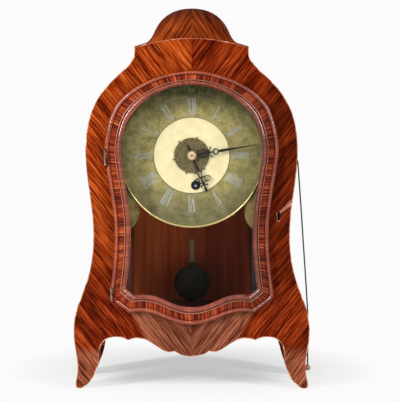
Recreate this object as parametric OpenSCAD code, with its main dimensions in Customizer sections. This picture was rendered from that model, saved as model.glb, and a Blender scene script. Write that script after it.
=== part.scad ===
// Small kingwood table clock with a glazed shaped door, a painted dial, an alarm
// disc, a pull cord and a short pendulum. Millimetres, X right, Y back, Z up,
// origin on the floor under the middle of the case.

/* [Case] */
// Height of the case to the top of its dome
case_h = 502; // [494:1:516]
// Depth from the face of the front board to the back of the back board
case_d = 151; // [144:1:175]
// Thickness of the front board
front_t = 14; // [12:0.5:16]
// Thickness of the back board
back_t = 10; // [6:0.5:14]
// Thickness of the curved side boards
wall = 12; // [9:0.5:14]
// Width across the pointed horns beside the dome
horn_w = 149; // [140:1:156]
// Drop from the top of the dome to the horns
horn_drop = 53.5; // [48:0.5:60]
// Drop from the top of the dome to the middle of the boards' arched edge
brow_drop = 41; // [36:1:46]
// Width across the upper swelling of the case
bulge_w = 278; // [266:1:290]
// Height of the upper swelling above the middle of the dial
bulge_up = 9; // [0:1:16]
// Width across the waist
waist_w = 258; // [250:1:266]
// Height of the waist
waist_z = 202; // [190:1:214]
// Width across the flare above the feet
flare_w = 311; // [300:1:320]
// Height of the flare
flare_z = 78; // [72:1:86]
// Width across the ankles
ankle_w = 301; // [294:1:305]
// Height of the ankles
ankle_z = 25; // [20:1:30]
// Width across the toes
toe_w = 307; // [300:1:314]
// Lowest point of the shaped apron
apron_z = 42.5; // [36:0.5:46]
// Half the clear width between the legs
leg_in = 122; // [118:1:126]
// Depth of each leg along the side of the case
leg_depth = 40; // [32:1:52]
// Height of the arch between the legs at the sides and the back
arch_z = 62; // [52:1:68]
// Height of the inside floor
floor_z = 100; // [96:1:103]
// Thickness of the floor board
floor_t = 8; // [5:0.5:12]
// Clear width between the inner cheeks
cheek_w = 162; // [156:1:166]
// Thickness of the inner cheeks
cheek_t = 6; // [4:0.5:8]
// Drop from the horns to the inner cheeks' top edge
cheek_drop = 52.5; // [46:0.5:60]
// Depth over which the dome rolls back from the front edge
dome_roll = 48; // [36:1:70]

/* [Door] */
// How far the door's outer bead stands in front of the front board
door_proud = 9; // [8:0.5:11]
// Drop from the top of the dome to the top of the door
door_drop = 84; // [80:1:90]
// Lowest point of the door
door_low = 85; // [80:1:90]
// Width of the door at the dial
door_w = 228; // [222:1:234]
// Width of the door at its waist
door_waist_w = 202; // [196:1:208]
// Height of the door's waist
door_waist_z = 204; // [196:1:212]
// Width of the door above its lower corners
door_foot_w = 215.6; // [210:0.2:220]
// Width of the door's stiles
stile_w = 21.5; // [19:0.5:24]
// Width of the door's top rail
top_rail = 18; // [15:0.5:21]
// Width of the door's bottom rail
low_rail = 23.2; // [20:0.2:26]
// Depth of the door's tongue inside the case opening
tongue = 10; // [7:0.5:12]
// Gap between the door's lip and the front board
lip_gap = 0.3; // [0.2:0.05:0.6]
// Thickness of the door's lip behind its moulding
lip_t = 3.7; // [3:0.1:5]
// Thickness of the glass
glass_t = 2; // [1.5:0.1:3]

/* [Hinges and lock] */
// Distance of the upper hinge from the middle of the case
hinge_top_x = 113.1; // [111.5:0.1:114]
// Distance of the lower hinge from the middle of the case
hinge_low_x = 105.3; // [104:0.1:106.5]
// Drop from the dial's middle to the middle of the upper hinge
hinge_drop = 3; // [-4:1:10]
// Height of the middle of the lower hinge
hinge_low_z = 125; // [122:1:130]
// Diameter of the hinge barrels
barrel_d = 3.8; // [3.4:0.1:4]
// Length of each hinge barrel
barrel_l = 18.4; // [14:0.2:22]
// Diameter of the hinge pins
hinge_pin_d = 1.8; // [1.4:0.1:2]
// Distance of the keyhole from the middle of the case
key_x = 113.8; // [112:0.2:115]
// Height of the keyhole
key_z = 228; // [222:1:234]
// Travel of the lock's bolt
bolt_travel = 6; // [4:0.5:7]

/* [Dial and hands] */
// Drop from the top of the door to the middle of the dial
dial_drop = 111; // [109:1:114]
// Diameter of the dial plate
dial_d = 193; // [188:1:198]
// How far the mask plate stands behind the front board's face
dial_set = 31; // [28:0.5:36]
// Thickness of the dial plate
dial_t = 2; // [1.4:0.1:2.6]
// Diameter of the pale middle ring of the dial
ring_d = 101.4; // [96:0.2:108]
// Diameter of the alarm disc
alarm_d = 46.6; // [40:0.2:52]
// Length of the minute hand from the middle of the dial
minute_l = 88; // [80:1:91]
// Length of the hour hand from the middle of the dial
hour_l = 54.5; // [48:0.5:60]
// Clock angle of the minute hand at rest, in degrees after twelve
minute_a = 80.6; // [0:0.1:360]
// Clock angle of the hour hand at rest, in degrees after twelve
hour_a = 157.2; // [0:0.1:360]
// Distance of the winding hole to the right of the dial's middle
wind_x = 5.3; // [3:0.1:8]
// Distance of the winding hole below the dial's middle
wind_drop = 39.8; // [38:0.1:42]

/* [Movement] */
// Distance between the two movement plates
plate_gap = 42; // [40:1:46]
// Thickness of the movement plates
plate_t = 2.5; // [2:0.1:3]
// Width of the movement plates
plate_w = 114; // [110:1:118]
// Height of the pendulum's pivot above the dial's middle
pivot_up = 32; // [28:1:36]
// Gap between the pendulum bob and the inside floor
bob_gap = 4.5; // [3:0.5:14]
// Diameter of the pendulum bob
bob_d = 49; // [42:1:50]
// Thickness of the pendulum bob
bob_t = 13; // [9:0.5:16]
// Width of the pendulum rod
rod_w = 6.4; // [5:0.2:8]
// Diameter of the alarm bell
bell_d = 56; // [48:1:58]

/* [Pull cord] */
// Diameter of the cord
cord_d = 2.1; // [1.8:0.1:2.4]
// Drop from the dial's middle to the cord's eyelet in the side of the case
eyelet_drop = 7; // [-3:1:15]
// Distance of the cord behind the front board's face
cord_set = 60; // [54:1:64]
// Diameter of the pull knob
knob_d = 8; // [7:0.2:9]

/* [Hidden] */
$fn = 48;

// Heights, from the dome downwards
horn_z = case_h - horn_drop;
brow_z = case_h - brow_drop;
cheek_top = horn_z - cheek_drop;
door_top = case_h - door_drop;
dial_z = door_top - dial_drop;
bulge_z = dial_z + bulge_up;
hinge_top_z = dial_z - hinge_drop;
eyelet_z = dial_z - eyelet_drop;
bob_z = floor_z + bob_gap + bob_d / 2;

// Half widths of the case
horn_x = horn_w / 2;
bulge_x = bulge_w / 2;
waist_x = waist_w / 2;
flare_x = flare_w / 2;
ankle_x = ankle_w / 2;
toe_x = toe_w / 2;

// Depths, from the front to the back
y_face = -(case_d + door_proud) / 2;
y_front = y_face + door_proud;
y_board = y_front + front_t;
y_back = y_front + case_d;
y_inner = y_back - back_t;
y_mask = y_front + dial_set;
mask_t = 1.5;
y_cheek = y_mask + mask_t;
post_l = 8.5;
y_fp = y_cheek + post_l;
y_in = y_fp + plate_t;
y_bp = y_in + plate_gap;
y_out = y_bp + plate_t;
y_pend = y_out + 13;
y_cord = y_front + cord_set;

// Running clearances and the slack round things let into wood
fit = 0.1;
slack = 0.15;

// A point on a cubic curve between a and d with handles b and c
function bez(a, b, c, d, t) =
    let (u = 1 - t)
    u * u * u * a + 3 * u * u * t * b + 3 * u * t * t * c + t * t * t * d;

// A line of cubic curves: each segment holds two handles, its end and its count of steps
function chain(start, segs) = concat([start],
    [for (i = [0:len(segs) - 1])
        let (a = i == 0 ? start : segs[i - 1][2], s = segs[i])
        for (k = [1:s[3]]) bez(a, s[0], s[1], s[2], k / s[3])]);

// A straight step to a point
function to(p) = [p, p, p, 1];

// The right half of an outline and its mirror image
function both(half) = concat(half,
    [for (i = [len(half) - 1:-1:0]) if (half[i].x > 0.01) [-half[i].x, half[i].y]]);

// A line moved sideways by d, to its left
function inset(p, d) = [for (i = [0:len(p) - 1])
    let (a = p[max(i - 1, 0)], b = p[min(i + 1, len(p) - 1)], t = (b - a) / norm(b - a))
    p[i] + d * [-t.y, t.x]];

function backwards(p) = [for (i = [len(p) - 1:-1:0]) p[i]];
function mix(a, b, s) = a + s * (b - a);

// Outline of the case's right side, from the ankle up to the horn
side_segs = [
    [[ankle_x, ankle_z + 20], [flare_x, flare_z - 22], [flare_x, flare_z], 6],
    [[flare_x, flare_z + 41], [waist_x, waist_z - 68], [waist_x, waist_z], 10],
    [[waist_x, waist_z + 45], [bulge_x, bulge_z - 45], [bulge_x, bulge_z], 8],
    [[bulge_x, bulge_z + 91], [horn_x, horn_z - 36], [horn_x, horn_z - 5], 13],
    to([horn_x, horn_z])];
side_line = chain([ankle_x, ankle_z], side_segs);

// Inner edge of a leg, its foot and the outer edge up to the ankle
leg_top = [leg_in, apron_z + 5.5];
foot_segs = [
    [[leg_in + 0.5, 36], [leg_in + 3, 10], [toe_x - 7.5, 0], 8],
    to([toe_x - 2.5, 0]),
    [[toe_x - 1, 0.3], [toe_x, 2], [toe_x, 4], 3],
    [[toe_x - 0.2, 12], [ankle_x, ankle_z - 9], [ankle_x, ankle_z], 4]];

// The arched top edge of the boards
brow_segs = [
    [[horn_x * 2 / 3, horn_z + (brow_z - horn_z) * 2 / 3], [horn_x / 3, brow_z], [0, brow_z], 16]];
function brow(x) = brow_z - (brow_z - horn_z) * (x / horn_x) ^ 2;

// Scalloped apron from the middle to the leg
apron_segs = [
    [[9, apron_z], [17, apron_z + 2.5], [22.7, apron_z + 7], 5],
    [[30, apron_z + 3.3], [38, apron_z + 7.5], [47, apron_z + 14.2], 5],
    [[57, apron_z + 21.5], [70, apron_z + 28], [83.8, apron_z + 21.7], 6],
    [[91, apron_z + 26], [105, apron_z + 29], [leg_in - 7.5, apron_z + 21.5], 6],
    [[leg_in - 3, apron_z + 17.5], [leg_in - 0.5, apron_z + 12], leg_top, 4]];
front_outline = both(chain([0, apron_z], concat(apron_segs, foot_segs, side_segs, brow_segs)));

// Half of the arch between the front and the back leg of a side, in Y and Z
arch_x = case_d / 2 - leg_depth;
side_arch = chain([0, -1], [
    to([arch_x, -1]),
    to([arch_x, arch_z - 32]),
    [[arch_x - 1, arch_z - 16], [arch_x - 7, arch_z - 6], [arch_x - 14, arch_z - 6], 6],
    [[arch_x - 20, arch_z - 6], [10, arch_z - 1], [0, arch_z], 5]]);

// The back board has a plain arch between its legs
back_segs = [
    [[70, arch_z], [leg_in - 2, arch_z + 4], leg_top, 8]];
back_outline = both(chain([0, arch_z], concat(back_segs, foot_segs, side_segs, brow_segs)));

// Dome over the front board's arched edge
crest_foot = 1.5;
seat_gap = 0.08;
dome_neck = [50.5, horn_z + 20];
dome_line = chain([horn_x, horn_z + crest_foot], [
    [[62, horn_z + 2], [55, horn_z + 9], dome_neck, 6],
    [[45, horn_z + 34], [33, case_h], [0, case_h], 11]]);

// Control points of the door, from its lowest point round to its top
door_x = door_w / 2;
door_wx = door_waist_w / 2;
door_fx = door_foot_w / 2;
outer_start = [0, door_low];
outer_segs = [
    [[14, door_low], [28, door_low + 6], [40, door_low + 11], 5],
    [[52, door_low + 16.5], [66, door_low + 19.5], [82.5, door_low + 16], 5],
    to([door_fx - 2.8, door_low + 33]),
    [[door_fx - 0.8, door_low + 35], [door_fx + 0.4, door_low + 37.5], [door_fx, door_low + 41], 3],
    [[door_fx - 2.3, door_low + 60], [door_wx, door_waist_z - 29], [door_wx, door_waist_z], 5],
    [[door_wx, door_waist_z + 43], [door_x, dial_z - 14], [door_x, dial_z + 6], 7],
    [[door_x, dial_z + 28], [106, dial_z + 56], [100.2, dial_z + 65.4], 5],
    [[83, dial_z + 90], [42, door_top], [0, door_top], 8]];
low_in = door_low + low_rail;
inner_start = [0, low_in];
inner_segs = [
    [[17, low_in], [27, low_in + 5.8], [39, low_in + 11.3], 5],
    [[52, low_in + 17.3], [66, low_in + 18.1], [75, low_in + 15.3], 5],
    to([door_fx - stile_w - 2.3, low_in + 22.3]),
    [[door_fx - stile_w - 1.1, low_in + 23.4], [door_fx - stile_w, low_in + 24.4],
        [door_fx - stile_w - 0.2, low_in + 26.3], 3],
    [[door_fx - stile_w - 3.3, low_in + 44], [door_wx - stile_w + 0.5, door_waist_z - 26],
        [door_wx - stile_w + 0.5, door_waist_z], 5],
    [[door_wx - stile_w + 0.5, door_waist_z + 46], [door_x - stile_w, dial_z - 16],
        [door_x - stile_w, dial_z + 6], 7],
    [[door_x - stile_w, dial_z + 25], [86, dial_z + 42], [79, dial_z + 53], 5],
    [[63, dial_z + 76], [35, door_top - top_rail], [0, door_top - top_rail], 8]];

// The door's line at a share of the way from its outer to its inner edge
function door_line(s) = both(chain(mix(outer_start, inner_start, s),
    [for (i = [0:len(outer_segs) - 1])
        let (o = outer_segs[i], n = inner_segs[i])
        [mix(o[0], n[0], s), mix(o[1], n[1], s), mix(o[2], n[2], s), o[3]]]));

// Shares of the door's width at which its edges lie
open_s = 0.36;
tongue_s = 0.40;
rebate_s = 0.84;
bead_s = 0.95;

// Hinge axis, which leans with the door's edge
hinge_lean = atan2(hinge_top_x - hinge_low_x, hinge_top_z - hinge_low_z);
y_hinge = y_front - lip_gap - barrel_d / 2;

// Dial stack, from the mask forwards
y_dial = y_mask - dial_t;
ring_t = 0.8;
y_ring = y_dial - ring_t;
disc_t = 1;
y_disc = y_ring - 0.4 - disc_t;
hand_t = 1;
y_hour = y_disc - 1 - hand_t;
y_minute = y_hour - 1.2 - hand_t;
cannon_r = 2.2;
pipe_r = 3.4;
bush_r = 4.4;

// Places in the movement, as distances right of and above the dial's middle
centre_at = [0, 0];
wind_at = [wind_x, -wind_drop];
pivot_at = [0, pivot_up];
train_m = 0.5;
third_d = (96 + 8) / 2 * train_m;
escape_d = (88 + 8) / 2 * train_m;
escape_at = pivot_at + 18 * [cos(213), sin(213)];
third_at = meet(centre_at, third_d, escape_at, escape_d);
great_m = 2 * norm(wind_at) / (84 + 12);
motion_m = 0.75;
motion_d = (12 + 36) / 2 * motion_m;
motion_at = motion_d * [-cos(30), -sin(30)];
hour_m = 2 * motion_d / (10 + 40);
pulley_r = 10;
alarm_at = [44, eyelet_z + pulley_r - dial_z];
hammer_at = [40, 38];
pillar_at = [for (x = [-1, 1], z = [-74, 54]) [x * (plate_w / 2 - 7), z]];
foot_at = [for (x = [-44, 44], z = [-45, 40]) [x, z]];

// The point at distance ra from a and rb from b, on the left of the way from a to b
function meet(a, ra, b, rb) =
    let (d = norm(b - a), u = (b - a) / d, k = (ra * ra - rb * rb + d * d) / (2 * d))
    a + k * u + sqrt(ra * ra - k * k) * [-u.y, u.x];
function heading(a, b) = atan2(b.y - a.y, b.x - a.x);

// Extrudes a drawing of the front view from depth y0 to depth y1
module slab(y0, y1) {
    translate([0, y1, 0])
    rotate([90, 0, 0])
    linear_extrude(height = y1 - y0)
    children();
}

// The same for drawings round a point of the movement
module plate_at(p, y0, y1) {
    translate([p.x, 0, dial_z + p.y])
    slab(y0, y1)
    children();
}

// A round bar along Y, at a point of the movement
module bar(p, r, y0, y1) {
    translate([p.x, y0, dial_z + p.y])
    rotate([-90, 0, 0])
    cylinder(r = r, h = y1 - y0);
}

// Closed skin over a row of rings, with flat ends or closed into a loop. The ends of
// an arched form are strips between the first and the second half of the ring.
module skin(rings, loop = false, arched = false) {
    n = len(rings[0]);
    m = len(rings);
    pts = [for (r = rings) each r];
    last = loop ? m - 1 : m - 2;
    sides = [for (j = [0:last], i = [0:n - 1])
        let (a = j * n, b = ((j + 1) % m) * n, k = (i + 1) % n)
        each [[a + i, b + i, b + k], [a + i, b + k, a + k]]];
    flat = [[for (i = [0:n - 1]) i], [for (i = [n - 1:-1:0]) (m - 1) * n + i]];
    strips = [for (i = [0:n / 2 - 2]) let (k = n - 1 - i, e = (m - 1) * n)
        each [[i, i + 1, k - 1], [i, k - 1, k], [e + i, e + k - 1, e + i + 1], [e + i, e + k, e + k - 1]]];
    ends = loop ? [] : arched ? strips : flat;
    polyhedron(points = pts, faces = concat(sides, ends), convexity = 6);
}

// Case

module hinge_place(x, z) {
    translate([-x, y_hinge, z])
    rotate([0, -hinge_lean, 0])
    children();
}

module at_hinges() {
    hinge_place(hinge_top_x, hinge_top_z) children();
    hinge_place(hinge_low_x, hinge_low_z) children();
}

tab_t = 1.4;
tab_l = barrel_l / 2 - 1.2;
tab_deep = 9;

module case_tab(grow = 0) {
    translate([-tab_t / 2 - grow, 0.5, -barrel_l / 2 + 0.8 - grow])
    cube([tab_t + 2 * grow, tab_deep + grow, tab_l + 2 * grow]);
}

module door_tab(grow = 0) {
    translate([0.5, -tab_t / 2 - grow, 0.6 - grow])
    cube([tab_deep + grow, tab_t + 2 * grow, tab_l + 2 * grow]);
}

lock_w = 26;
lock_h = 44;
lock_skin = 4.5;
lock_deep = front_t - lock_skin - slack;
lock_x = key_x - 4.4;
bolt_h = 12;
bolt_t = 3;
y_bolt = y_front + lock_skin + 2.2;
keyhole_r = 1.95;
keyhole_l = 9.5;

lock_screw_l = 7;

// Screw places of the lock, with the axis pointing forwards from the board's back
module at_lock_screws() {
    for (z = [-1, 1])
        translate([lock_x, y_board, key_z + z * (lock_h / 2 + 4)])
            rotate([90, 0, 0])
            children();
}

module keyhole(y0, y1, grow = 0) {
    slab(y0, y1) translate([key_x, key_z + 3.4]) circle(r = keyhole_r + grow);
    slab(y0, y1) translate([key_x - 1.2 - grow, key_z + 3.4 - keyhole_l - grow])
        square([2.4 + 2 * grow, keyhole_l + grow]);
}

module front_board() {
    color([0.5, 0.2, 0.08])
    difference() {
        slab(y_front, y_board) polygon(front_outline);
        slab(y_front - 1, y_board + 1) polygon(door_line(open_s));
        at_hinges() case_tab(slack);
        keyhole(y_front - 1, y_board, 0.7);
        translate([lock_x - lock_w / 2 - slack, y_front + lock_skin, key_z - lock_h / 2 - slack])
            cube([lock_w + 2 * slack, front_t, lock_h + 2 * slack]);
        translate([lock_x - lock_w / 2 - 6, y_bolt - slack, key_z - bolt_h / 2 - slack])
            cube([7, bolt_t + 2 * slack, bolt_h + 2 * slack]);
        at_lock_screws() cylinder(r = screw_r + 0.05, h = 2 * lock_screw_l, center = true);
    }
}

screw_r = 1.5;
side_screw_l = 12;

// Screw places of the back board, in the middle of the side boards' back edges
module at_back_screws() {
    for (s = [-1, 1], z = [96, waist_z, bulge_z + 4, horn_z - 12.5])
        translate([s * (side_x(z) - wall / 2), y_inner, z])
            rotate([90, 0, 0])
            children();
}

module side_board() {
    band = concat(side_line, backwards(inset(side_line, wall)));
    legs = [[y_board, y_front + leg_depth], [y_back - leg_depth, y_inner]];
    difference() {
        union() {
            slab(y_board, y_inner) polygon(band);
            for (y = legs)
                intersection() {
                    slab(y[0], y[1]) polygon(back_outline);
                    translate([leg_in - 6, y[0] - 1, 0]) cube([60, case_d, arch_z + 6]);
                }
        }
        translate([leg_in - 20, (y_front + y_back) / 2, 0])
            rotate([90, 0, 90])
            linear_extrude(height = 80)
            polygon(both(side_arch));
        at_back_screws() cylinder(r = screw_r + 0.05, h = 2 * side_screw_l, center = true);
    }
}

module side_left() {
    color([0.48, 0.19, 0.08])
    mirror([1, 0, 0])
    side_board();
}

eyelet_bore = cord_d + 0.4;
eyelet_tube = eyelet_bore + 1.4;
eyelet_flange = 7.4;
flange_t = 1;
// Outside face of the case at the eyelet
eyelet_x = side_x(eyelet_z);
function side_x(z) = [for (i = [1:len(side_line) - 1])
    let (a = side_line[i - 1], b = side_line[i])
    if (a.y <= z && z < b.y) mix(a.x, b.x, (z - a.y) / (b.y - a.y))][0];
exit_x = eyelet_x + flange_t + 0.3;

module side_right() {
    color([0.48, 0.19, 0.08])
    difference() {
        side_board();
        translate([eyelet_x - wall - 6, y_cord, eyelet_z])
            rotate([0, 90, 0])
            cylinder(r = eyelet_tube / 2 + 0.05, h = wall + 12);
    }
}

module back_board() {
    color([0.32, 0.14, 0.07])
    difference() {
        slab(y_inner, y_back) polygon(back_outline);
        at_back_screws() translate([0, 0, -back_t - 1]) cylinder(r = screw_r + 0.05, h = back_t + 2);
    }
}

module back_screws() {
    color([0.25, 0.22, 0.2])
    at_back_screws() {
        translate([0, 0, -back_t - 0.5]) cylinder(r = screw_r, h = back_t + side_screw_l);
        difference() {
            translate([0, 0, -back_t - 1.3]) cylinder(r1 = 2.6, r2 = 3.4, h = 1.3);
            translate([-4, -0.4, -back_t - 2]) cube([8, 0.8, 1.3]);
        }
    }
}

// Each slice of the dome stands on the arched edge, and its height grows as it rolls back
module crest() {
    half = both(dome_line);
    steps = 9;
    rows = concat(
        [for (k = [0:steps]) [y_front + dome_roll * (1 - cos(90 * k / steps)), sin(90 * k / steps)]],
        [[y_back, 1]]);
    color([0.42, 0.17, 0.08])
    skin([for (r = rows) concat(
        [for (p = half) [p.x, r[0], brow(p.x) + seat_gap]],
        [for (i = [len(half) - 1:-1:0]) let (p = half[i], b = brow(p.x) + crest_foot)
            [p.x, r[0], b + r[1] * max(0, p.y - b) + 0.001 * (horn_x - abs(p.x))]])], arched = true);
}

module floor_board() {
    room = inset(side_line, wall);
    left = [for (p = backwards(room)) [-p.x, p.y]];
    color([0.34, 0.15, 0.08])
    intersection() {
        slab(y_board, y_inner) polygon(concat(room, left));
        translate([-flare_x, y_front, floor_z - floor_t]) cube([flare_w, case_d, floor_t]);
    }
}

module cheek() {
    difference() {
        translate([cheek_w / 2, y_cheek, floor_z])
            cube([cheek_t, y_inner - y_cheek, cheek_top - floor_z]);
        for (p = mask_screw_at) bar(p, screw_r + 0.05, y_cheek - 1, y_cheek + mask_screw_l);
    }
}

module cheek_left() {
    color([0.12, 0.1, 0.1])
    mirror([1, 0, 0])
    cheek();
}

module cheek_right() {
    color([0.12, 0.1, 0.1])
    difference() {
        cheek();
        translate([cheek_w / 2 - 1, y_cord, eyelet_z])
            rotate([0, 90, 0])
            cylinder(r = cord_d, h = cheek_t + 2);
    }
}

// Brass plate behind the dial, with an ear at each lower side of the window
mask_x = cheek_w / 2 + cheek_t + 1;
mask_screw_l = 9;
mask_screw_at = [for (x = [-1, 1], z = [-85, 40]) [x * (cheek_w + cheek_t) / 2, z]];

module mask_plate() {
    ear_r = 27;
    color([0.5, 0.43, 0.24])
    difference() {
        intersection() {
            union() {
                bar(centre_at, dial_d / 2 - 1, y_mask, y_cheek);
                plate_at([-mask_x, -66], y_mask, y_cheek) square([2 * mask_x, 112]);
                for (s = [-1, 1]) bar([s * (mask_x + 9), -76], ear_r, y_mask, y_cheek);
            }
            plate_at([-mask_x, -120], y_mask - 1, y_cheek + 1) square([2 * mask_x, 240]);
        }
        bar(centre_at, 16.5, y_mask - 1, y_cheek + 1);
        bar(wind_at, 9.5, y_mask - 1, y_cheek + 1);
        bar(motion_at, 3, y_mask - 1, y_cheek + 1);
        for (p = foot_at) bar(p, 1.65, y_mask - 1, y_cheek + 1);
        for (p = mask_screw_at) bar(p, screw_r + 0.05, y_mask - 1, y_cheek + 1);
    }
}

module mask_screws() {
    color([0.3, 0.3, 0.32])
    for (p = mask_screw_at) bar(p, screw_r, y_mask, y_cheek + mask_screw_l - 0.5);
}

// Door

module door_frame() {
    color([0.42, 0.16, 0.08])
    difference() {
        union() {
            slab(y_front - lip_gap - lip_t, y_front - lip_gap) polygon(door_line(0.02));
            slab(y_front - lip_gap - 0.01, y_front - lip_gap + tongue) polygon(door_line(tongue_s));
        }
        slab(y_front - 20, y_front + 20) polygon(door_line(rebate_s));
        at_hinges() translate([-4, -6, -barrel_l / 2 - 0.4]) cube([6.3, 12, barrel_l + 2.1]);
        at_hinges() door_tab(slack);
        translate([lock_x - lock_w / 2 - bolt_travel - 0.5, y_bolt - 0.4, key_z - bolt_h / 2 - 0.4])
            cube([bolt_travel + 3, bolt_t + 0.8, bolt_h + 0.8]);
    }
    color([0.42, 0.16, 0.08])
    difference() {
        slab(y_front - lip_gap - lip_t, y_front - lip_gap) polygon(door_line(rebate_s - 0.001));
        slab(y_front - 20, y_front + 20) polygon(door_line(1));
    }
}

// Height of the moulding in front of the lip, at shares of the frame's width
moulding_h = door_proud - lip_gap - lip_t;
moulding = [[0, 0], [0, 0.4], [0.02, 0.65], [0.06, 0.88], [0.13, 1], [0.2, 0.9], [0.25, 0.62],
    [0.28, 0.46], [0.44, 0.32], [0.6, 0.34], [0.62, 0.5], [0.67, 0.5], [0.7, 0.32],
    [0.73, 0.42], [0.78, 0.62], [0.86, 0.66], [0.93, 0.5], [1, 0.12], [1, 0]];

// Where the left side of a line comes down to a height, counted in steps along it
function step_at(line, z) = [for (i = [round(len(line) / 2):len(line) - 2])
    if (line[i].y >= z && z > line[i + 1].y) i + (line[i].y - z) / (line[i].y - line[i + 1].y)][0];
function along(line, u) = let (i = floor(u), n = len(line)) mix(line[i % n], line[(i + 1) % n], u - i);

// The moulding is notched at each hinge barrel: its outer edge steps in to this share
notch_s = 0.25;
notch_l = barrel_l / 2 + 0.4;

module door_moulding() {
    y0 = y_front - lip_gap - lip_t;
    edge = door_line(0);
    lines = [for (p = moulding) door_line(p[0])];
    narrow = [for (p = moulding) door_line(max(p[0], notch_s))];
    notches = [for (z = [hinge_top_z, hinge_low_z]) [step_at(edge, z + notch_l), step_at(edge, z - notch_l)]];
    ends = [for (c = notches) each [c[0] - 0.002, c[0], c[1], c[1] + 0.002]];
    steps = [for (i = [0:len(edge) - 1]) each concat([i], [for (u = ends) if (i < u && u < i + 1) u])];
    color([0.55, 0.25, 0.16])
    skin([for (u = steps)
        let (cut = len([for (c = notches) if (c[0] <= u && u <= c[1]) 1]) > 0)
        [for (k = [len(moulding) - 1:-1:0])
            let (p = along(cut ? narrow[k] : lines[k], u))
            [p.x + (cut ? 0.001 * k : 0), y0 - moulding_h * moulding[k][1], p.y]]], true);
}

module glass_pane() {
    y0 = y_front - lip_gap;
    color([0.8, 0.9, 0.9, 0.3])
    slab(y0, y0 + glass_t) polygon(door_line(rebate_s + 0.02));
}

module glass_beads() {
    y0 = y_front - lip_gap + glass_t;
    color([0.3, 0.13, 0.08])
    difference() {
        slab(y0, y0 + 4) polygon(door_line(rebate_s + 0.01));
        slab(y0 - 1, y0 + 5) polygon(door_line(bead_s));
    }
}

module hinge_case_knuckles() {
    color([0.55, 0.5, 0.42])
    at_hinges()
    difference() {
        union() {
            translate([0, 0, -barrel_l / 2]) cylinder(d = barrel_d, h = barrel_l / 2 - 0.15);
            case_tab();
        }
        translate([0, 0, -barrel_l / 2 - 1]) cylinder(d = hinge_pin_d + 0.04, h = barrel_l + 2);
    }
}

module hinge_door_knuckles() {
    color([0.55, 0.5, 0.42])
    at_hinges()
    difference() {
        union() {
            translate([0, 0, 0.15]) cylinder(d = barrel_d, h = barrel_l / 2 - 0.15);
            door_tab();
        }
        translate([0, 0, -barrel_l / 2 - 1]) cylinder(d = hinge_pin_d + 2 * fit, h = barrel_l + 2);
    }
}

module hinge_pins() {
    color([0.6, 0.55, 0.45])
    at_hinges() {
        translate([0, 0, -barrel_l / 2 + 0.4]) cylinder(d = hinge_pin_d, h = barrel_l + 0.2);
        translate([0, 0, barrel_l / 2 + 0.3]) cylinder(d = barrel_d - 0.6, h = 1);
    }
}

// Lock

module escutcheon() {
    color([0.7, 0.6, 0.35])
    difference() {
        keyhole(y_front - 0.2, y_front + 2, 0.65);
        keyhole(y_front - 1, y_front + 3);
    }
}

module lock_case() {
    y0 = y_front + lock_skin + slack;
    color([0.35, 0.33, 0.3])
    difference() {
        union() {
            translate([lock_x - lock_w / 2, y0, key_z - lock_h / 2]) cube([lock_w, lock_deep, lock_h]);
            translate([lock_x - lock_w / 2 - 2, y_board, key_z - lock_h / 2 - 8])
                cube([waist_x - wall - 0.5 - lock_x + lock_w / 2 + 2, 1.2, lock_h + 16]);
        }
        translate([lock_x - lock_w / 2 + 2, y0 + 1.2, key_z - lock_h / 2 + 2])
            cube([lock_w - 4, lock_deep - 2.2, lock_h - 4]);
        translate([lock_x - lock_w / 2 - 1, y_bolt - fit, key_z - bolt_h / 2 - fit])
            cube([5, bolt_t + 2 * fit, bolt_h + 2 * fit]);
        keyhole(y0 - 1, y0 + 3);
        at_lock_screws() cylinder(r = screw_r + 0.05, h = 4, center = true);
    }
    color([0.35, 0.33, 0.3])
    translate([key_x, y0 + 1.1, key_z + 3.4]) rotate([-90, 0, 0]) cylinder(r = 1, h = lock_deep - 1.6);
}

module lock_bolt() {
    x0 = lock_x - lock_w / 2;
    color([0.5, 0.48, 0.44])
    translate([x0 + 0.1, y_bolt, key_z - bolt_h / 2])
    cube([12, bolt_t, bolt_h]);
}

module lock_screws() {
    color([0.4, 0.38, 0.35])
    at_lock_screws() {
        translate([0, 0, -1.25]) cylinder(r = screw_r, h = lock_screw_l);
        translate([0, 0, -2.15]) cylinder(r1 = 2.2, r2 = 2.8, h = 0.92);
    }
}

// Dial

module dial_plate() {
    color([0.45, 0.42, 0.24])
    difference() {
        bar(centre_at, dial_d / 2, y_dial, y_mask);
        bar(centre_at, bush_r + 0.6, y_dial - 1, y_mask + 1);
        bar(wind_at, 6.2, y_dial - 1, y_mask + 1);
    }
}

module dial_rim() {
    color([0.85, 0.75, 0.4])
    translate([0, y_dial, dial_z])
    rotate([90, 0, 0])
    rotate_extrude($fn = 96)
    polygon([[dial_d / 2 - 2.6, 0], [dial_d / 2 - 2.3, 0.7], [dial_d / 2 - 1.5, 1.2],
        [dial_d / 2 - 0.5, 1.1], [dial_d / 2, 0.5], [dial_d / 2, 0]]);
}

module dial_centre() {
    color([0.95, 0.93, 0.75])
    difference() {
        bar(centre_at, ring_d / 2, y_ring, y_dial);
        bar(centre_at, bush_r + 0.6, y_ring - 1, y_dial + 1);
        bar(wind_at, 6.2, y_ring - 1, y_dial + 1);
    }
}

module dial_feet() {
    color([0.6, 0.5, 0.3])
    for (p = foot_at) bar(p, 1.6, y_mask, y_in + 3);
    color([0.7, 0.6, 0.35])
    for (p = foot_at)
        translate([p.x, y_in + 1, dial_z + p.y - 4]) cylinder(r = 0.6, h = 8);
}

module winding_bush() {
    color([0.1, 0.1, 0.1])
    difference() {
        bar(wind_at, 6.15, y_ring - 0.5, y_mask);
        bar(wind_at, 4.1, y_ring - 2, y_mask + 1);
    }
}

// The knobs round the alarm disc's edge: their count, the first one's clock angle, and the sizes of each
knobs = 6;
knob_turn = 17;
knob_head_r = 1.15;
knob_out = 1.3;
knob_neck = 1.4;

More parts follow.
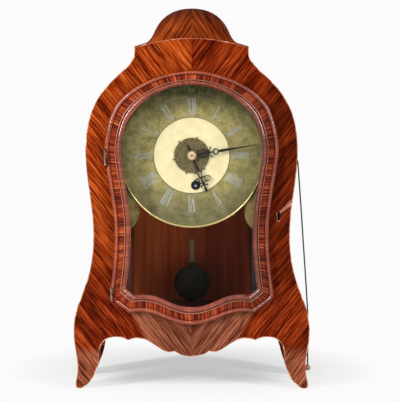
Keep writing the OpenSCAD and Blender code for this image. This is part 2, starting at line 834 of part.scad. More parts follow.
// One knob, from inside the disc's edge out to the middle of its round head
module rim_knob() {
    translate([-knob_neck / 2, 0, -1])
        cube([knob_neck, disc_t, 1 + knob_out]);
    translate([0, 0, knob_out])
        rotate([-90, 0, 0])
        cylinder(r = knob_head_r, h = disc_t);
}

module alarm_disc() {
    color([0.42, 0.4, 0.27])
    difference() {
        union() {
            bar(centre_at, alarm_d / 2, y_disc, y_disc + disc_t);
            bar(centre_at, bush_r, y_disc, y_mask + 1);
            for (i = [0:knobs - 1])
                translate([0, y_disc - 0.2, dial_z])
                    rotate([0, knob_turn + i * 360 / knobs, 0])
                    translate([0, 0, alarm_d / 2])
                    rim_knob();
        }
        bar(centre_at, pipe_r + 0.05, y_disc - 3, y_mask + 3);
    }
}

// A flat hand drawn upwards from the middle of the dial, turned to its clock angle
module hand(a, y) {
    translate([0, y + hand_t, dial_z])
    rotate([0, a, 0])
    rotate([90, 0, 0])
    linear_extrude(height = hand_t)
    children();
}

// A curved strip of a hand along a cubic curve, with a width at each end
function strip(a, b, c, d, w0, w1, n = 8) =
    let (line = [for (k = [0:n]) bez(a, b, c, d, k / n)],
        left = [for (i = [0:n]) inset(line, mix(w0, w1, i / n) / 2)[i]],
        right = [for (i = [0:n]) inset(line, -mix(w0, w1, i / n) / 2)[i]])
    concat(right, backwards(left));

// The same strip on both sides of the middle line
module limbs(a, b, c, d, w0, w1) {
    right = strip(a, b, c, d, w0, w1);
    polygon(right);
    polygon(backwards([for (q = right) [-q.x, q.y]]));
}

module minute_hand() {
    ring_z = 32.4;
    color([0.06, 0.06, 0.06])
    hand(minute_a, y_minute)
    difference() {
        union() {
            circle(r = 4.6);
            limbs([0.8, 3.8], [6.8, 9], [6, 19], [0.5, 22.8], 1.8, 1.7);
            polygon(strip([0, 4], [0, 12], [0, 20], [0, 28.8], 3.2, 1.6));
            limbs([0, 21.6], [2, 22.5], [4.5, 25.5], [6.4, 26.1], 1.6, 1);
            for (s = [-1, 1]) translate([s * 6.4, 26.3]) circle(r = 1.1);
            translate([0, ring_z]) circle(r = 4.3);
            polygon([[1.5, 36], [2, 41], [1.1, 60], [0.5, minute_l - 3], [0, minute_l],
                [-0.5, minute_l - 3], [-1.1, 60], [-2, 41], [-1.5, 36]]);
        }
        circle(r = cannon_r + 0.03);
        translate([0, ring_z]) circle(r = 2.7);
    }
}

module hour_hand() {
    loop_at = [7.5, 35.7];
    color([0.06, 0.06, 0.06])
    hand(hour_a, y_hour)
    difference() {
        union() {
            circle(r = 5.8);
            polygon(strip([0, 4], [0, 10], [0, 16], [0, 22.5], 3.2, 2));
            limbs([0.4, 21.6], [3.6, 24.5], [3.6, 28.5], [0.2, 32.3], 1.3, 1.4);
            limbs([0.6, 22.2], [2, 23], [3.2, 25], [4.8, 24.2], 1.3, 0.9);
            for (s = [-1, 1]) translate([s * 4.9, 24]) circle(r = 1.1);
            polygon(strip([0, 31.2], [0, 36], [0, 42], [0, 47], 2.2, 1.8));
            limbs([0.2, 32.2], [2.5, 32.2], [4, 31], [6, 32], 1.4, 1.3);
            limbs([0.2, 43], [0.8, 39.5], [2.4, 38.2], [4.6, 38.6], 1.3, 1.3);
            for (s = [-1, 1]) translate([s * loop_at.x, loop_at.y]) circle(r = 4.3);
            limbs([0.5, 41.5], [1.8, 42], [3, 43.8], [4.4, 43.6], 1.2, 0.9);
            for (s = [-1, 1]) translate([s * 4.5, 43.7]) circle(r = 1);
            polygon([[1, 46], [2.1, 48.5], [0, hour_l], [-2.1, 48.5], [-1, 46]]);
            polygon([[-1.6, -4], [-0.7, -15], [0, -17], [0.7, -15], [1.6, -4]]);
        }
        circle(r = pipe_r + 0.03);
        for (s = [-1, 1]) translate([s * loop_at.x, loop_at.y]) circle(r = 3.1);
    }
}

module hand_collet() {
    color([0.93, 0.9, 0.72])
    difference() {
        bar(centre_at, 7, y_minute - 0.9, y_minute);
        bar(centre_at, cannon_r + 0.05, y_minute - 2, y_minute + 1);
    }
}

module hand_pin() {
    color([0.8, 0.65, 0.3])
    translate([-3.2, y_minute - 1.7, dial_z])
    rotate([0, 90, 0])
    cylinder(r1 = 0.6, r2 = 0.75, h = 6.4);
}

// Motion work between the mask and the front plate

// Teeth with room between them: n teeth of module m, the first at angle a
function teeth(n, m, a) = [for (i = [0:n - 1])
    let (p = 360 / n, c = a + i * p, ra = (n / 2 + 0.8) * m, rf = (n / 2 - 1.15) * m)
    for (q = [[rf, -0.26], [ra, -0.08], [ra, 0.08], [rf, 0.26]])
    q[0] * [cos(c + q[1] * p), sin(c + q[1] * p)]];

// Four openings between the arms of a wheel
module crossings(r0, r1) {
    for (q = [0:3])
        rotate([0, 0, q * 90])
        polygon(concat(
            [for (k = [0:6]) let (a = 12 + k * 11) r1 * [cos(a), sin(a)]],
            [for (k = [6:-1:0]) let (a = 24 + k * 7) r0 * [cos(a), sin(a)]]));
}

// A toothed wheel with arms, its bore left to the arbor it sits on
module wheel(p, n, m, a, y0, t, hub) {
    rf = (n / 2 - 1.15) * m;
    plate_at(p, y0, y0 + t)
    difference() {
        polygon(teeth(n, m, a));
        crossings(hub + 1, rf - 2);
    }
}

y_motion = y_fp - 3;
cannon_a = heading(centre_at, motion_at);

module cannon_pinion() {
    color([0.5, 0.48, 0.45])
    difference() {
        union() {
            bar(centre_at, cannon_r, y_minute - 2.6, y_motion);
            plate_at(centre_at, y_motion - 0.2, y_motion + 1.8) polygon(teeth(12, motion_m, cannon_a));
        }
        translate([-3.3, y_minute - 1.7, dial_z]) rotate([0, 90, 0]) cylinder(r = 0.78, h = 6.6);
        bar(centre_at, 1.3, y_minute - 1, y_fp);
    }
}

module minute_wheel() {
    back_a = cannon_a + 180 + 180 / 36;
    color([0.75, 0.6, 0.3])
    difference() {
        union() {
            wheel(motion_at, 36, motion_m, back_a, y_motion, 1.6, 3.5);
            plate_at(motion_at, y_motion - 3.4, y_motion + 0.05) polygon(teeth(10, hour_m, back_a - 5));
        }
        bar(motion_at, 1.3, y_mask - 3, y_fp);
    }
}

module hour_wheel() {
    color([0.75, 0.6, 0.3])
    difference() {
        union() {
            wheel(centre_at, 40, hour_m, cannon_a + 180 / 40, y_motion - 3.2, 1.4, pipe_r + 2);
            bar(centre_at, pipe_r, y_hour, y_motion - 2);
        }
        bar(centre_at, cannon_r + fit, y_hour - 1, y_motion + 1);
    }
}

// Movement

plate_low = -81;
plate_high = 61;
arbor_r = 1.2;
y_ratchet = y_fp - 4;
click_at = wind_at + [15.5, 4];

module plate_blank(y0) {
    plate_at([-plate_w / 2, plate_low], y0, y0 + plate_t) square([plate_w, plate_high - plate_low]);
}

module front_plate() {
    color([0.72, 0.58, 0.3])
    difference() {
        union() {
            plate_blank(y_fp);
            bar(motion_at, 1.2, y_motion - 3.8, y_fp + 0.5);
            bar(click_at, 1.1, y_ratchet - 0.3, y_fp + 0.5);
            bar(click_at, 1.9, y_ratchet - 1, y_ratchet - 0.2);
        }
        bar(centre_at, 2 + fit, y_fp - 1, y_in + 1);
        bar(wind_at, 2.5 + fit, y_fp - 1, y_in + 1);
        for (p = [third_at, escape_at, hammer_at, pivot_at]) bar(p, arbor_r + 0.05, y_fp - 1, y_in + 1);
        bar(alarm_at, 1.5 + fit, y_fp - 1, y_in + 1);
        for (p = foot_at) bar(p, 1.65, y_fp - 1, y_in + 1);
    }
}

module back_plate() {
    color([0.72, 0.58, 0.3])
    difference() {
        plate_blank(y_bp);
        for (p = [centre_at, third_at, escape_at, hammer_at]) bar(p, arbor_r + 0.05, y_bp - 1, y_out + 1);
        bar(wind_at, 2 + fit, y_bp - 1, y_out + 1);
        bar(alarm_at, 1.5 + fit, y_bp - 1, y_out + 1);
        bar(pivot_at, 4, y_bp - 1, y_out + 1);
    }
}

// Turned pillars riveted between the plates
module pillars() {
    l = plate_gap;
    color([0.75, 0.6, 0.3])
    for (p = pillar_at)
        translate([p.x, y_in, dial_z + p.y])
            rotate([-90, 0, 0])
            rotate_extrude()
            polygon([[0, 0], [3.5, 0], [3.5, 2], [2.2, 3], [2.2, l / 2 - 4], [3.2, l / 2],
                [2.2, l / 2 + 4], [2.2, l - 3], [3.5, l - 2], [3.5, l], [0, l]]);
}

// Short posts that carry the movement on the mask plate
module plate_posts() {
    color([0.75, 0.6, 0.3])
    for (p = pillar_at) bar(p, 3.5, y_cheek, y_fp);
}

ratchet_r = 8;
ratchet_n = 12;
hub_r = 4;
y_great = y_in + 31.5;

module winding_arbor() {
    color([0.45, 0.44, 0.42])
    union() {
        plate_at(wind_at + [-1.8, -1.8], y_ring - 2.2, y_ratchet + 0.1) square([3.6, 3.6]);
        bar(wind_at, 2.5, y_ratchet, y_in + 10);
        bar(wind_at, hub_r, y_in + 9.4, y_great - 1.4);
        bar(wind_at, 2, y_great - 1.5, y_out - 0.2);
        plate_at(wind_at, y_ratchet, y_ratchet + 1.8)
            polygon([for (i = [0:ratchet_n - 1]) let (p = 360 / ratchet_n, c = i * p)
                each [[(ratchet_r - 1.6) * cos(c), (ratchet_r - 1.6) * sin(c)],
                    [ratchet_r * cos(c + 0.1 * p), ratchet_r * sin(c + 0.1 * p)]]]);
    }
}

// Its nose drops between two ratchet teeth

module ratchet_click() {
    color([0.4, 0.38, 0.36])
    difference() {
        union() {
            bar(click_at, 2.6, y_ratchet, y_ratchet + 1.8);
            plate_at(click_at, y_ratchet, y_ratchet + 1.8)
                polygon([[-1.5, 2.4], [-8.2, -0.3], [-8.1, -1.2], [-1.2, -2.3]]);
        }
        bar(click_at, 1.1 + fit, y_ratchet - 1, y_ratchet + 4);
    }
}

barrel_room = 19.4;

module spring_barrel() {
    back_a = heading(wind_at, centre_at);
    color([0.78, 0.63, 0.32])
    difference() {
        union() {
            bar(wind_at, 21, y_in + 7.5, y_great + 0.1);
            plate_at(wind_at, y_great, y_great + 2.4) polygon(teeth(84, great_m, back_a));
        }
        bar(wind_at, barrel_room, y_in + 9, y_great - 1);
        bar(wind_at, 2.5 + fit, y_in, y_in + 10);
        bar(wind_at, 2 + fit, y_great - 2, y_bp);
    }
}

// Flat spiral spring from the hub of the winding arbor out to the barrel's wall
module mainspring() {
    t = 0.7;
    steps = 144;
    line = [for (k = [0:steps]) let (r = mix(hub_r + 0.3 + t / 2, barrel_room - t / 2, k / steps))
        r * [cos(k * 15), sin(k * 15)]];
    color([0.4, 0.42, 0.46])
    plate_at(wind_at, y_in + 9.6, y_great - 1.6)
    polygon(concat(inset(line, -t / 2), backwards(inset(line, t / 2))));
}

y_centre = y_in + 5.5;

module centre_wheel() {
    color([0.75, 0.6, 0.3])
    union() {
        wheel(centre_at, 96, train_m, heading(centre_at, third_at), y_centre, 1.5, 4);
        bar(centre_at, 4, y_centre - 1, y_centre + 2.5);
        bar(centre_at, 2, y_fp - 0.1, y_bp - 0.3);
        bar(centre_at, arbor_r, y_bp - 0.4, y_out - 0.2);
        bar(centre_at, 1.25, y_minute - 0.9, y_fp);
        plate_at(centre_at, y_great - 0.4, y_great + 2.9)
            polygon(teeth(12, great_m, heading(centre_at, wind_at) + 15));
    }
}

y_third = y_in + 25;

module third_wheel() {
    color([0.75, 0.6, 0.3])
    union() {
        wheel(third_at, 88, train_m, heading(third_at, escape_at), y_third, 1.4, 4);
        bar(third_at, 3.6, y_third - 1, y_third + 2.4);
        bar(third_at, arbor_r, y_fp + 0.2, y_out - 0.2);
        plate_at(third_at, y_centre - 0.8, y_centre + 2.4)
            polygon(teeth(8, train_m, heading(third_at, centre_at) + 22.5));
    }
}

escape_r = 13;
y_escape = y_in + 34.5;

module escape_wheel() {
    color([0.75, 0.6, 0.3])
    union() {
        plate_at(escape_at, y_escape, y_escape + 1.2)
            difference() {
                polygon([for (i = [0:29]) let (c = i * 12)
                    for (q = [[2.6, -3], [2.6, 3], [0, 5]])
                    (escape_r - q[0]) * [cos(c + q[1]), sin(c + q[1])]]);
                crossings(3.6, escape_r - 4.4);
            }
        bar(escape_at, 2.6, y_escape - 1, y_escape + 2);
        bar(escape_at, arbor_r, y_fp + 0.2, y_out - 0.2);
        plate_at(escape_at, y_third - 1, y_third + 2.6)
            polygon(teeth(8, train_m, heading(escape_at, third_at) + 22.5));
    }
}

// Pallets over the escape wheel, the arbor and the crutch that leads the pendulum rod
crutch_drop = 46;

module anchor() {
    tilt = heading(pivot_at, escape_at);
    color([0.4, 0.4, 0.42])
    union() {
        bar(pivot_at, 3, y_escape - 0.6, y_escape + 1.8);
        translate([0, 0, dial_z + pivot_at.y])
            rotate([0, -tilt - 90, 0])
            slab(y_escape, y_escape + 1.2) {
                limbs([0, 1.5], [6, 2], [11, -1], [13.2, -8], 3, 2);
                limbs([13, -7], [13.4, -8.6], [13.4, -9.6], [12.9, -11], 2, 1);
            }
        bar(pivot_at, arbor_r, y_fp + 0.2, y_out + 7);
        bar(pivot_at, 2.6, y_out + 2, y_out + 5);
        translate([-1.5, y_out + 2.4, dial_z + pivot_at.y - crutch_drop]) cube([3, 1.6, crutch_drop]);
        translate([-rod_w / 2 - 2.3, y_out + 2.4, dial_z + pivot_at.y - crutch_drop - 2])
            cube([rod_w + 4.6, 1.6, 4]);
        for (s = [-1, 1])
            translate([s * (rod_w / 2 + 1.3) - 1, y_out + 3, dial_z + pivot_at.y - crutch_drop - 2])
                cube([2, y_pend - y_out - 0.5, 4]);
    }
}

// Bridge on the back plate that carries the anchor's rear pivot and the pendulum
module back_cock() {
    color([0.75, 0.6, 0.3])
    difference() {
        union() {
            plate_at(pivot_at + [-16, 10], y_out, y_out + 9.5) square([8, 10]);
            plate_at(pivot_at + [8, 10], y_out, y_out + 9.5) square([8, 10]);
            plate_at(pivot_at + [-16, -5], y_out + 7.2, y_out + 9.5) square([32, 25]);
            plate_at(pivot_at + [-4, 8], y_out + 9.4, y_pend + 5) square([8, 7]);
            plate_at(pivot_at + [-4, -3.5], y_pend + 2.5, y_pend + 5) square([8, 12]);
            bar(pivot_at, 0.9, y_out + 9.4, y_pend + 3);
        }
        bar(pivot_at, arbor_r + 0.05, y_out, y_out + 9);
    }
}

module suspension_spring() {
    color([0.55, 0.56, 0.6])
    difference() {
        union() {
            bar(pivot_at, 2.6, y_pend - 1.5, y_pend + 1.5);
            translate([-1.4, y_pend - 0.3, dial_z + pivot_at.y - 12]) cube([2.8, 0.6, 11]);
        }
        bar(pivot_at, 0.95, y_pend - 3, y_pend + 3);
    }
}

rod_t = 1.6;

module pendulum_rod() {
    top = dial_z + pivot_up - 8;
    color([0.45, 0.37, 0.22])
    difference() {
        translate([-rod_w / 2, y_pend - rod_t / 2, bob_z - bob_d / 2 + 2.5])
            cube([rod_w, rod_t, top - bob_z + bob_d / 2 - 2.5]);
        translate([-1.45, y_pend - 0.35, top - 4.3]) cube([2.9, 0.7, 6]);
    }
}

// A lens with a narrow flat rim and a slot for the rod
module pendulum_bob() {
    r = bob_d / 2;
    side = [for (k = [0:10]) let (a = 90 * k / 10) [r * sin(a), 0.5 + (bob_t / 2 - 0.5) * cos(a) ^ 1.2]];
    color([0.14, 0.15, 0.1])
    difference() {
        translate([0, y_pend, bob_z])
            rotate([90, 0, 0])
            rotate_extrude($fn = 96)
            polygon(concat(side, [for (i = [len(side) - 1:-1:0]) [side[i].x, -side[i].y]]));
        translate([-rod_w / 2 - 0.05, y_pend - rod_t / 2 - 0.05, bob_z - bob_d / 2 + 2.4])
            cube([rod_w + 0.1, rod_t + 0.1, bob_d]);
    }
}

module bob_collar() {
    color([0.2, 0.2, 0.14])
    difference() {
        translate([-rod_w / 2 - 1.6, y_pend - rod_t / 2 - 1.6, bob_z + bob_d / 2 + 0.02])
            cube([rod_w + 3.2, rod_t + 3.2, 4]);
        translate([-rod_w / 2 - 0.05, y_pend - rod_t / 2 - 0.05, bob_z])
            cube([rod_w + 0.1, rod_t + 0.1, bob_d]);
    }
}

// Alarm

bell_at = [0, y_in + 20];
bell_z = dial_z + plate_high + 8;
bell_h = 22;

module bell() {
    r = bell_d / 2;
    color([0.62, 0.55, 0.42])
    translate([bell_at.x, bell_at.y, bell_z])
    rotate_extrude($fn = 72)
    polygon(concat(
        [[2.1, bell_h], [2.1, bell_h - 1.4]],
        [for (k = [1:9]) let (a = 90 - k * 10) [(r - 1.4) * cos(a), (bell_h - 1.4) * sin(a)]],
        [for (k = [9:-1:1]) let (a = 90 - k * 10) [r * cos(a), bell_h * sin(a)]]));
}

module bell_stand() {
    w = 8;
    color([0.5, 0.48, 0.45])
    union() {
        translate([-w / 2 - 24, y_out, dial_z + 36]) cube([w, 2, bell_z + bell_h + 3.2 - dial_z - 36]);
        translate([-w / 2 - 24, bell_at.y - w / 2, bell_z + bell_h + 1.2]) {
            cube([w, y_out + 2 - bell_at.y + w / 2, 2]);
            cube([w + 28, w, 2]);
        }
        translate([bell_at.x, bell_at.y, bell_z + bell_h - 3]) cylinder(r = 2, h = 9);
        translate([bell_at.x, bell_at.y, bell_z + bell_h - 3.4]) cylinder(r = 3.6, h = 1.7);
    }
}

star_r = 12;

module alarm_pulley() {
    y0 = y_cord - 4;
    color([0.7, 0.56, 0.3])
    union() {
        bar(alarm_at, 1.5, y_fp + 0.2, y_out - 0.2);
        translate([alarm_at.x, y0, dial_z + alarm_at.y])
            rotate([-90, 0, 0])
            rotate_extrude($fn = 72)
            polygon([[0, 0], [pulley_r + 2, 0], [pulley_r + 2, 1.4], [pulley_r - 1.2, 3], [pulley_r - 1.2, 5],
                [pulley_r + 2, 6.6], [pulley_r + 2, 8], [0, 8]]);
        plate_at(alarm_at, y_cord + 10, y_cord + 11.6)
            polygon([for (i = [0:14]) let (c = i * 24)
                each [(star_r - 3) * [cos(c), sin(c)], star_r * [cos(c + 3), sin(c + 3)]]]);
    }
}

module alarm_hammer() {
    y0 = bell_at.y;
    head_z = bell_z + 4;
    head_x = bell_d / 2 + 1.4;
    color([0.45, 0.44, 0.42])
    union() {
        bar(hammer_at, arbor_r, y_fp + 0.2, y_out - 0.2);
        bar(hammer_at, 2.6, y0 - 1.5, y0 + 1.5);
        translate([hammer_at.x, y0, dial_z + hammer_at.y])
            rotate([0, atan2(head_x + 4 - hammer_at.x, head_z - dial_z - hammer_at.y), 0])
            cylinder(r = 0.9, h = norm([head_x + 4 - hammer_at.x, head_z - dial_z - hammer_at.y]));
        translate([head_x, y0, head_z]) rotate([0, 90, 0]) cylinder(r = 3, h = 8);
        bar(hammer_at, 2.2, y_cord + 9.8, y_cord + 11.8);
        plate_at(hammer_at, y_cord + 10, y_cord + 11.6)
            polygon([[-1.4, 0], [0.6, -7], [2.6, -11.8], [3.6, -11.8], [3.2, -7], [1.6, 0]]);
    }
}

// Pull cord

module cord_eyelet() {
    color([0.75, 0.62, 0.3])
    translate([eyelet_x, y_cord, eyelet_z])
    rotate([0, 90, 0])
    difference() {
        union() {
            translate([0, 0, -wall]) cylinder(d = eyelet_tube, h = wall + 0.4);
            translate([0, 0, 0.3]) cylinder(d = eyelet_flange, h = flange_t);
        }
        translate([0, 0, -wall - 1]) cylinder(d = eyelet_bore, h = wall + 4);
    }
}

// The stretch inside the case, once round the pulley's groove
module inner_cord() {
    color([0.2, 0.22, 0.2])
    union() {
        translate([alarm_at.x, y_cord, eyelet_z])
            rotate([0, 90, 0])
            cylinder(d = cord_d, h = exit_x - alarm_at.x);
        translate([alarm_at.x, y_cord, eyelet_z + pulley_r])
            rotate([90, 0, 0])
            rotate([0, 0, -180])
            rotate_extrude(angle = 90)
            translate([pulley_r, 0])
            circle(d = cord_d);
    }
}

// Points of the free stretch, in X and Z, from the eyelet to the knob
cord_drawn = [[140, 300], [141.4, 299.6], [142.3, 298.4], [142.7, 296.5], [143.3, 290], [144.5, 274],
    [146, 253], [147.6, 231], [149.1, 209], [150.8, 184], [152.5, 160], [154.4, 132],
    [155.9, 108], [156.7, 94], [157, 84], [157, 72], [157, 58], [157, 44], [157, 32], [157, 22]];

// The same points, their fall fitted to the eyelet's height
cord_foot = cord_drawn[len(cord_drawn) - 1];
cord_points = [for (p = cord_drawn)
    [p.x, mix(cord_foot.y, eyelet_z, (p.y - cord_foot.y) / (cord_drawn[0].y - cord_foot.y))]];

module pull_cord() {
    n = len(cord_points);
    sides = 8;
    color([0.2, 0.22, 0.2])
    skin([for (i = [0:n - 1])
        let (a = cord_points[max(i - 1, 0)], b = cord_points[min(i + 1, n - 1)], t = (b - a) / norm(b - a),
            flat = i == 0 ? [1, 0] : i == n - 1 ? [0, -1] : t,
            c = i == 0 ? [exit_x, eyelet_z] : cord_points[i])
        [for (k = [0:sides - 1]) let (w = 360 * k / sides, r = cord_d / 2)
            [c.x - flat.y * r * cos(w), y_cord - r * sin(w), c.y + flat.x * r * cos(w)]]]);
}

module pull_knob() {
    r = knob_d / 2;
    color([0.75, 0.5, 0.42])
    translate([cord_foot.x, y_cord, cord_foot.y])
    rotate_extrude()
    polygon(concat([[0, 0], [1.5, 0]],
        [for (k = [1:9]) let (a = 68 - k * 16) [r * cos(a), -r + r * sin(a)]],
        [[0, -2 * r]]));
}

front_board();
side_left();
side_right();
back_board();
back_screws();
crest();
floor_board();
cheek_left();
cheek_right();
mask_plate();
mask_screws();
door_frame();
door_moulding();
glass_pane();
glass_beads();
hinge_case_knuckles();
hinge_door_knuckles();
hinge_pins();
escutcheon();
lock_case();
lock_bolt();
lock_screws();
dial_plate();
dial_rim();
dial_centre();
dial_feet();
winding_bush();
alarm_disc();
hour_hand();
minute_hand();
hand_collet();
hand_pin();
cannon_pinion();
minute_wheel();
hour_wheel();
front_plate();
back_plate();
pillars();
plate_posts();
winding_arbor();
ratchet_click();
spring_barrel();
mainspring();
centre_wheel();
third_wheel();
escape_wheel();
anchor();
back_cock();
suspension_spring();
pendulum_rod();
pendulum_bob();
bob_collar();
bell();
bell_stand();
alarm_pulley();
alarm_hammer();
cord_eyelet();
inner_cord();
pull_cord();
pull_knob();
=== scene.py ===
import math

import bmesh
import bpy
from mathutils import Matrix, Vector


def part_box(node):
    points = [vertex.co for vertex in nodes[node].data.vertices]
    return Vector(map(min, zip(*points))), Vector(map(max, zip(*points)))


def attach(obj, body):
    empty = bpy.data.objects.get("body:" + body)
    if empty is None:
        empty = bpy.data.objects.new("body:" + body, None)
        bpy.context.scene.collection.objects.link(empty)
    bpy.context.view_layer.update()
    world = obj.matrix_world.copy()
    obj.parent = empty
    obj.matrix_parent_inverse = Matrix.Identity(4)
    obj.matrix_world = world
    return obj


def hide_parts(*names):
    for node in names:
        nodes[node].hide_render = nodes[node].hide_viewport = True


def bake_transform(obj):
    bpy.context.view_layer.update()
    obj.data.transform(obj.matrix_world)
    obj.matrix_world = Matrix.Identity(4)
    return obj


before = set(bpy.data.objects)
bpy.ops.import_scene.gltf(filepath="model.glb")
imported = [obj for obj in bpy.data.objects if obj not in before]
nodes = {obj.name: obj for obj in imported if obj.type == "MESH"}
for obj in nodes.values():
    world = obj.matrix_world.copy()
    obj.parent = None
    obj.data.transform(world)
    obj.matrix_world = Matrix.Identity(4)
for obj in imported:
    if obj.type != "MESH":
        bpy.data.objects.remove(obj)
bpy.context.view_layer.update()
scene = bpy.context.scene
MM = 0.001


# Camera, at the photograph's viewing angle
CAMERA_PLACE = (0.011, -2.201, 0.375)
CAMERA_AIM = (0.011, -0.071, 0.248)
LENS = 146.4


def face_towards(thing, place, target):
    """Puts a camera or lamp at a place and turns it to its target."""
    thing.location = place
    thing.rotation_euler = (Vector(target) - Vector(place)).to_track_quat("-Z", "Y").to_euler()


def add_camera():
    data = bpy.data.cameras.new("photo_camera")
    data.sensor_fit = "HORIZONTAL"
    data.sensor_width = 36.0
    data.lens = LENS
    camera = bpy.data.objects.new("photo_camera", data)
    scene.collection.objects.link(camera)
    face_towards(camera, CAMERA_PLACE, CAMERA_AIM)
    scene.camera = camera


# Node trees
def rgb(r, g, b):
    """A colour written in 0 to 255, as the shader wants it."""
    def linear(c):
        c = c / 255
        return c / 12.92 if c < 0.04045 else ((c + 0.055) / 1.055) ** 2.4
    return (linear(r), linear(g), linear(b), 1.0)


class Nodes:
    """A node tree, with one short call for each kind of node."""

    def __init__(self, tree):
        self.tree = tree
        self.tree.nodes.clear()

    def add(self, kind, props=None, inputs=None):
        node = self.tree.nodes.new(kind)
        for key, value in (props or {}).items():
            setattr(node, key, value)
        for key, value in (inputs or {}).items():
            self.feed(node.inputs[key], value)
        return node

    def feed(self, socket, value):
        if isinstance(value, bpy.types.NodeSocket):
            self.tree.links.new(value, socket)
        else:
            socket.default_value = value

    def math(self, operation, a, b=0.0, *rest):
        """A maths node; rest holds the third number of an operation that takes three."""
        return self.add("ShaderNodeMath", {"operation": operation},
                        dict(enumerate((a, b, *rest)))).outputs[0]

    def times(self, a, b):
        return self.math("MULTIPLY", a, b)

    def sum(self, *terms):
        """The sum of socket times number pairs."""
        total = 0.0
        for socket, factor in terms:
            total = self.math("MULTIPLY_ADD", socket, factor, total)
        return total

    def length(self, a, b):
        """How long a line is that goes a one way and b across it."""
        return self.math("SQRT", self.sum((self.times(a, a), 1.0), (self.times(b, b), 1.0)))

    def span(self, value, low, high, start=0.0, end=1.0):
        """value mapped from low..high to start..end and held there."""
        return self.add("ShaderNodeMapRange", {"clamp": True}, {
            "Value": value, "From Min": low, "From Max": high,
            "To Min": start, "To Max": end}).outputs[0]

    def seen(self):
        """1 for what the camera sees, straight, in a mirror or through glass, and 0 for other light."""
        paths = self.add("ShaderNodeLightPath").outputs
        return self.math("MAXIMUM", paths["Is Camera Ray"],
                         self.math("MAXIMUM", paths["Is Glossy Ray"], paths["Is Transmission Ray"]))


class Shader(Nodes):
    """A material's nodes; x, y and z are the place on the piece in metres."""

    def __init__(self, name):
        self.material = bpy.data.materials.new(name)
        self.material.use_nodes = True
        super().__init__(self.material.node_tree)
        self.x, self.y, self.z = self.coordinates("Object")

    def coordinates(self, kind):
        """The three parts of one of the texture coordinates."""
        place = self.add("ShaderNodeTexCoord").outputs[kind]
        return tuple(self.add("ShaderNodeSeparateXYZ", inputs={0: place}).outputs)

    def vector(self, x, y, z=0.0):
        return self.add("ShaderNodeCombineXYZ", inputs={0: x, 1: y, 2: z}).outputs[0]

    def stretched(self, *scales):
        """The place on the piece, with each part times its scale."""
        place = (self.x, self.y, self.z)
        return self.vector(*[self.times(part, scale) for part, scale in zip(place, scales)])

    def noise(self, vector, scale=1.0, detail=2.0, rough=0.5, distortion=0.0):
        return self.add("ShaderNodeTexNoise", inputs={
            "Vector": vector, "Scale": scale, "Detail": detail, "Roughness": rough,
            "Distortion": distortion}).outputs["Fac"]

    def spots(self, scale, detail=2.0, rough=0.5):
        """Noise without a grain, with about scale spots in a metre."""
        return self.noise(self.vector(self.x, self.y, self.z), scale, detail, rough)

    def streaks(self, across, along, side, width, thin, short, detail, rough):
        """Noise drawn out along a grain; thin and short count its streaks in a width, across and along."""
        place = self.vector(self.times(across, thin / width), self.times(along, short / width), side)
        return self.noise(place, 1.0, detail, rough)

    def ramp(self, fac, stops):
        node = self.add("ShaderNodeValToRGB", inputs={0: fac})
        items = node.color_ramp.elements
        while len(items) < len(stops):
            items.new(0.5)
        for item, (spot, colour) in zip(items, stops):
            item.position = spot
            item.color = colour
        return node.outputs[0]

    def shades(self, fac, dark, light, low=0.35, high=0.65):
        """Colours from dark to light, where noise goes from low to high."""
        return self.ramp(fac, [(low, dark), (high, light)])

    def mix(self, fac, a, b):
        return self.add("ShaderNodeMix", {"data_type": "RGBA"}, {0: fac, 6: a, 7: b}).outputs[2]

    def bump(self, height, distance, strength):
        return self.add("ShaderNodeBump", inputs={
            "Height": height, "Distance": distance, "Strength": strength}).outputs[0]

    def surface(self, colour, roughness, normal=None, **constants):
        """A Principled surface; constants are set on its own sockets."""
        inputs = {"Base Color": colour, "Roughness": roughness}
        if normal is not None:
            inputs["Normal"] = normal
        for key, value in constants.items():
            inputs[key.replace("_", " ")] = value
        self.output(self.add("ShaderNodeBsdfPrincipled", inputs=inputs).outputs[0])
        return self.material

    def output(self, socket):
        self.add("ShaderNodeOutputMaterial", inputs={"Surface": socket})


# Palettes of the woods, from the streaks' dark to their light
def palette(stops, *colours):
    return [(stop, rgb(*colour)) for stop, colour in zip(stops, colours)]


VENEER_STOPS = (0.30, 0.40, 0.50, 0.60, 0.72)
BAND_STOPS = (0.30, 0.42, 0.52, 0.62, 0.72)
BEAD_STOPS = (0.32, 0.50, 0.68)
RED_WOOD = palette(VENEER_STOPS, (36, 5, 1), (74, 14, 2), (106, 29, 6), (134, 46, 14), (164, 72, 30))
# painted light: the red made lighter and more golden, for the front board's upper left
LIT_RED_WOOD = palette(VENEER_STOPS, (52, 9, 1), (98, 24, 3), (136, 47, 10), (162, 67, 20), (194, 98, 42))
# painted reflection: the red tinted mauve, as the pale floor shows in the polish low down
FLOOR_SHEEN_WOOD = palette(VENEER_STOPS, (58, 20, 10), (102, 50, 31), (136, 76, 52), (158, 93, 67), (188, 122, 92))
DOME_WOOD = palette(VENEER_STOPS, (42, 9, 2), (78, 22, 4), (108, 39, 10), (130, 55, 18), (160, 78, 34))
BAND_WOOD = palette(BAND_STOPS, (50, 8, 3), (86, 18, 5), (120, 33, 11), (150, 54, 21), (186, 92, 47))
BEAD_WOOD = palette(BEAD_STOPS, (66, 14, 3), (134, 48, 20), (200, 112, 72))
INNER_WOOD = palette(BEAD_STOPS, (62, 14, 3), (122, 44, 18), (178, 92, 54))

# Widths of the veneers' broad streaks and depths of their pores, in metres
FRONT_STREAK = 0.0014
SIDE_STREAK = 0.0024
LIP_STREAK = 0.0022
BAND_STREAK = 0.0024
BAND_VEIN = 0.0020
FINE_PORE = 0.00003
COARSE_PORE = 0.00005

# Slopes of the veneers' streaks, in degrees
FRONT_SLOPE = 52
DOME_SLOPE = -58
SIDE_SLOPE = 48


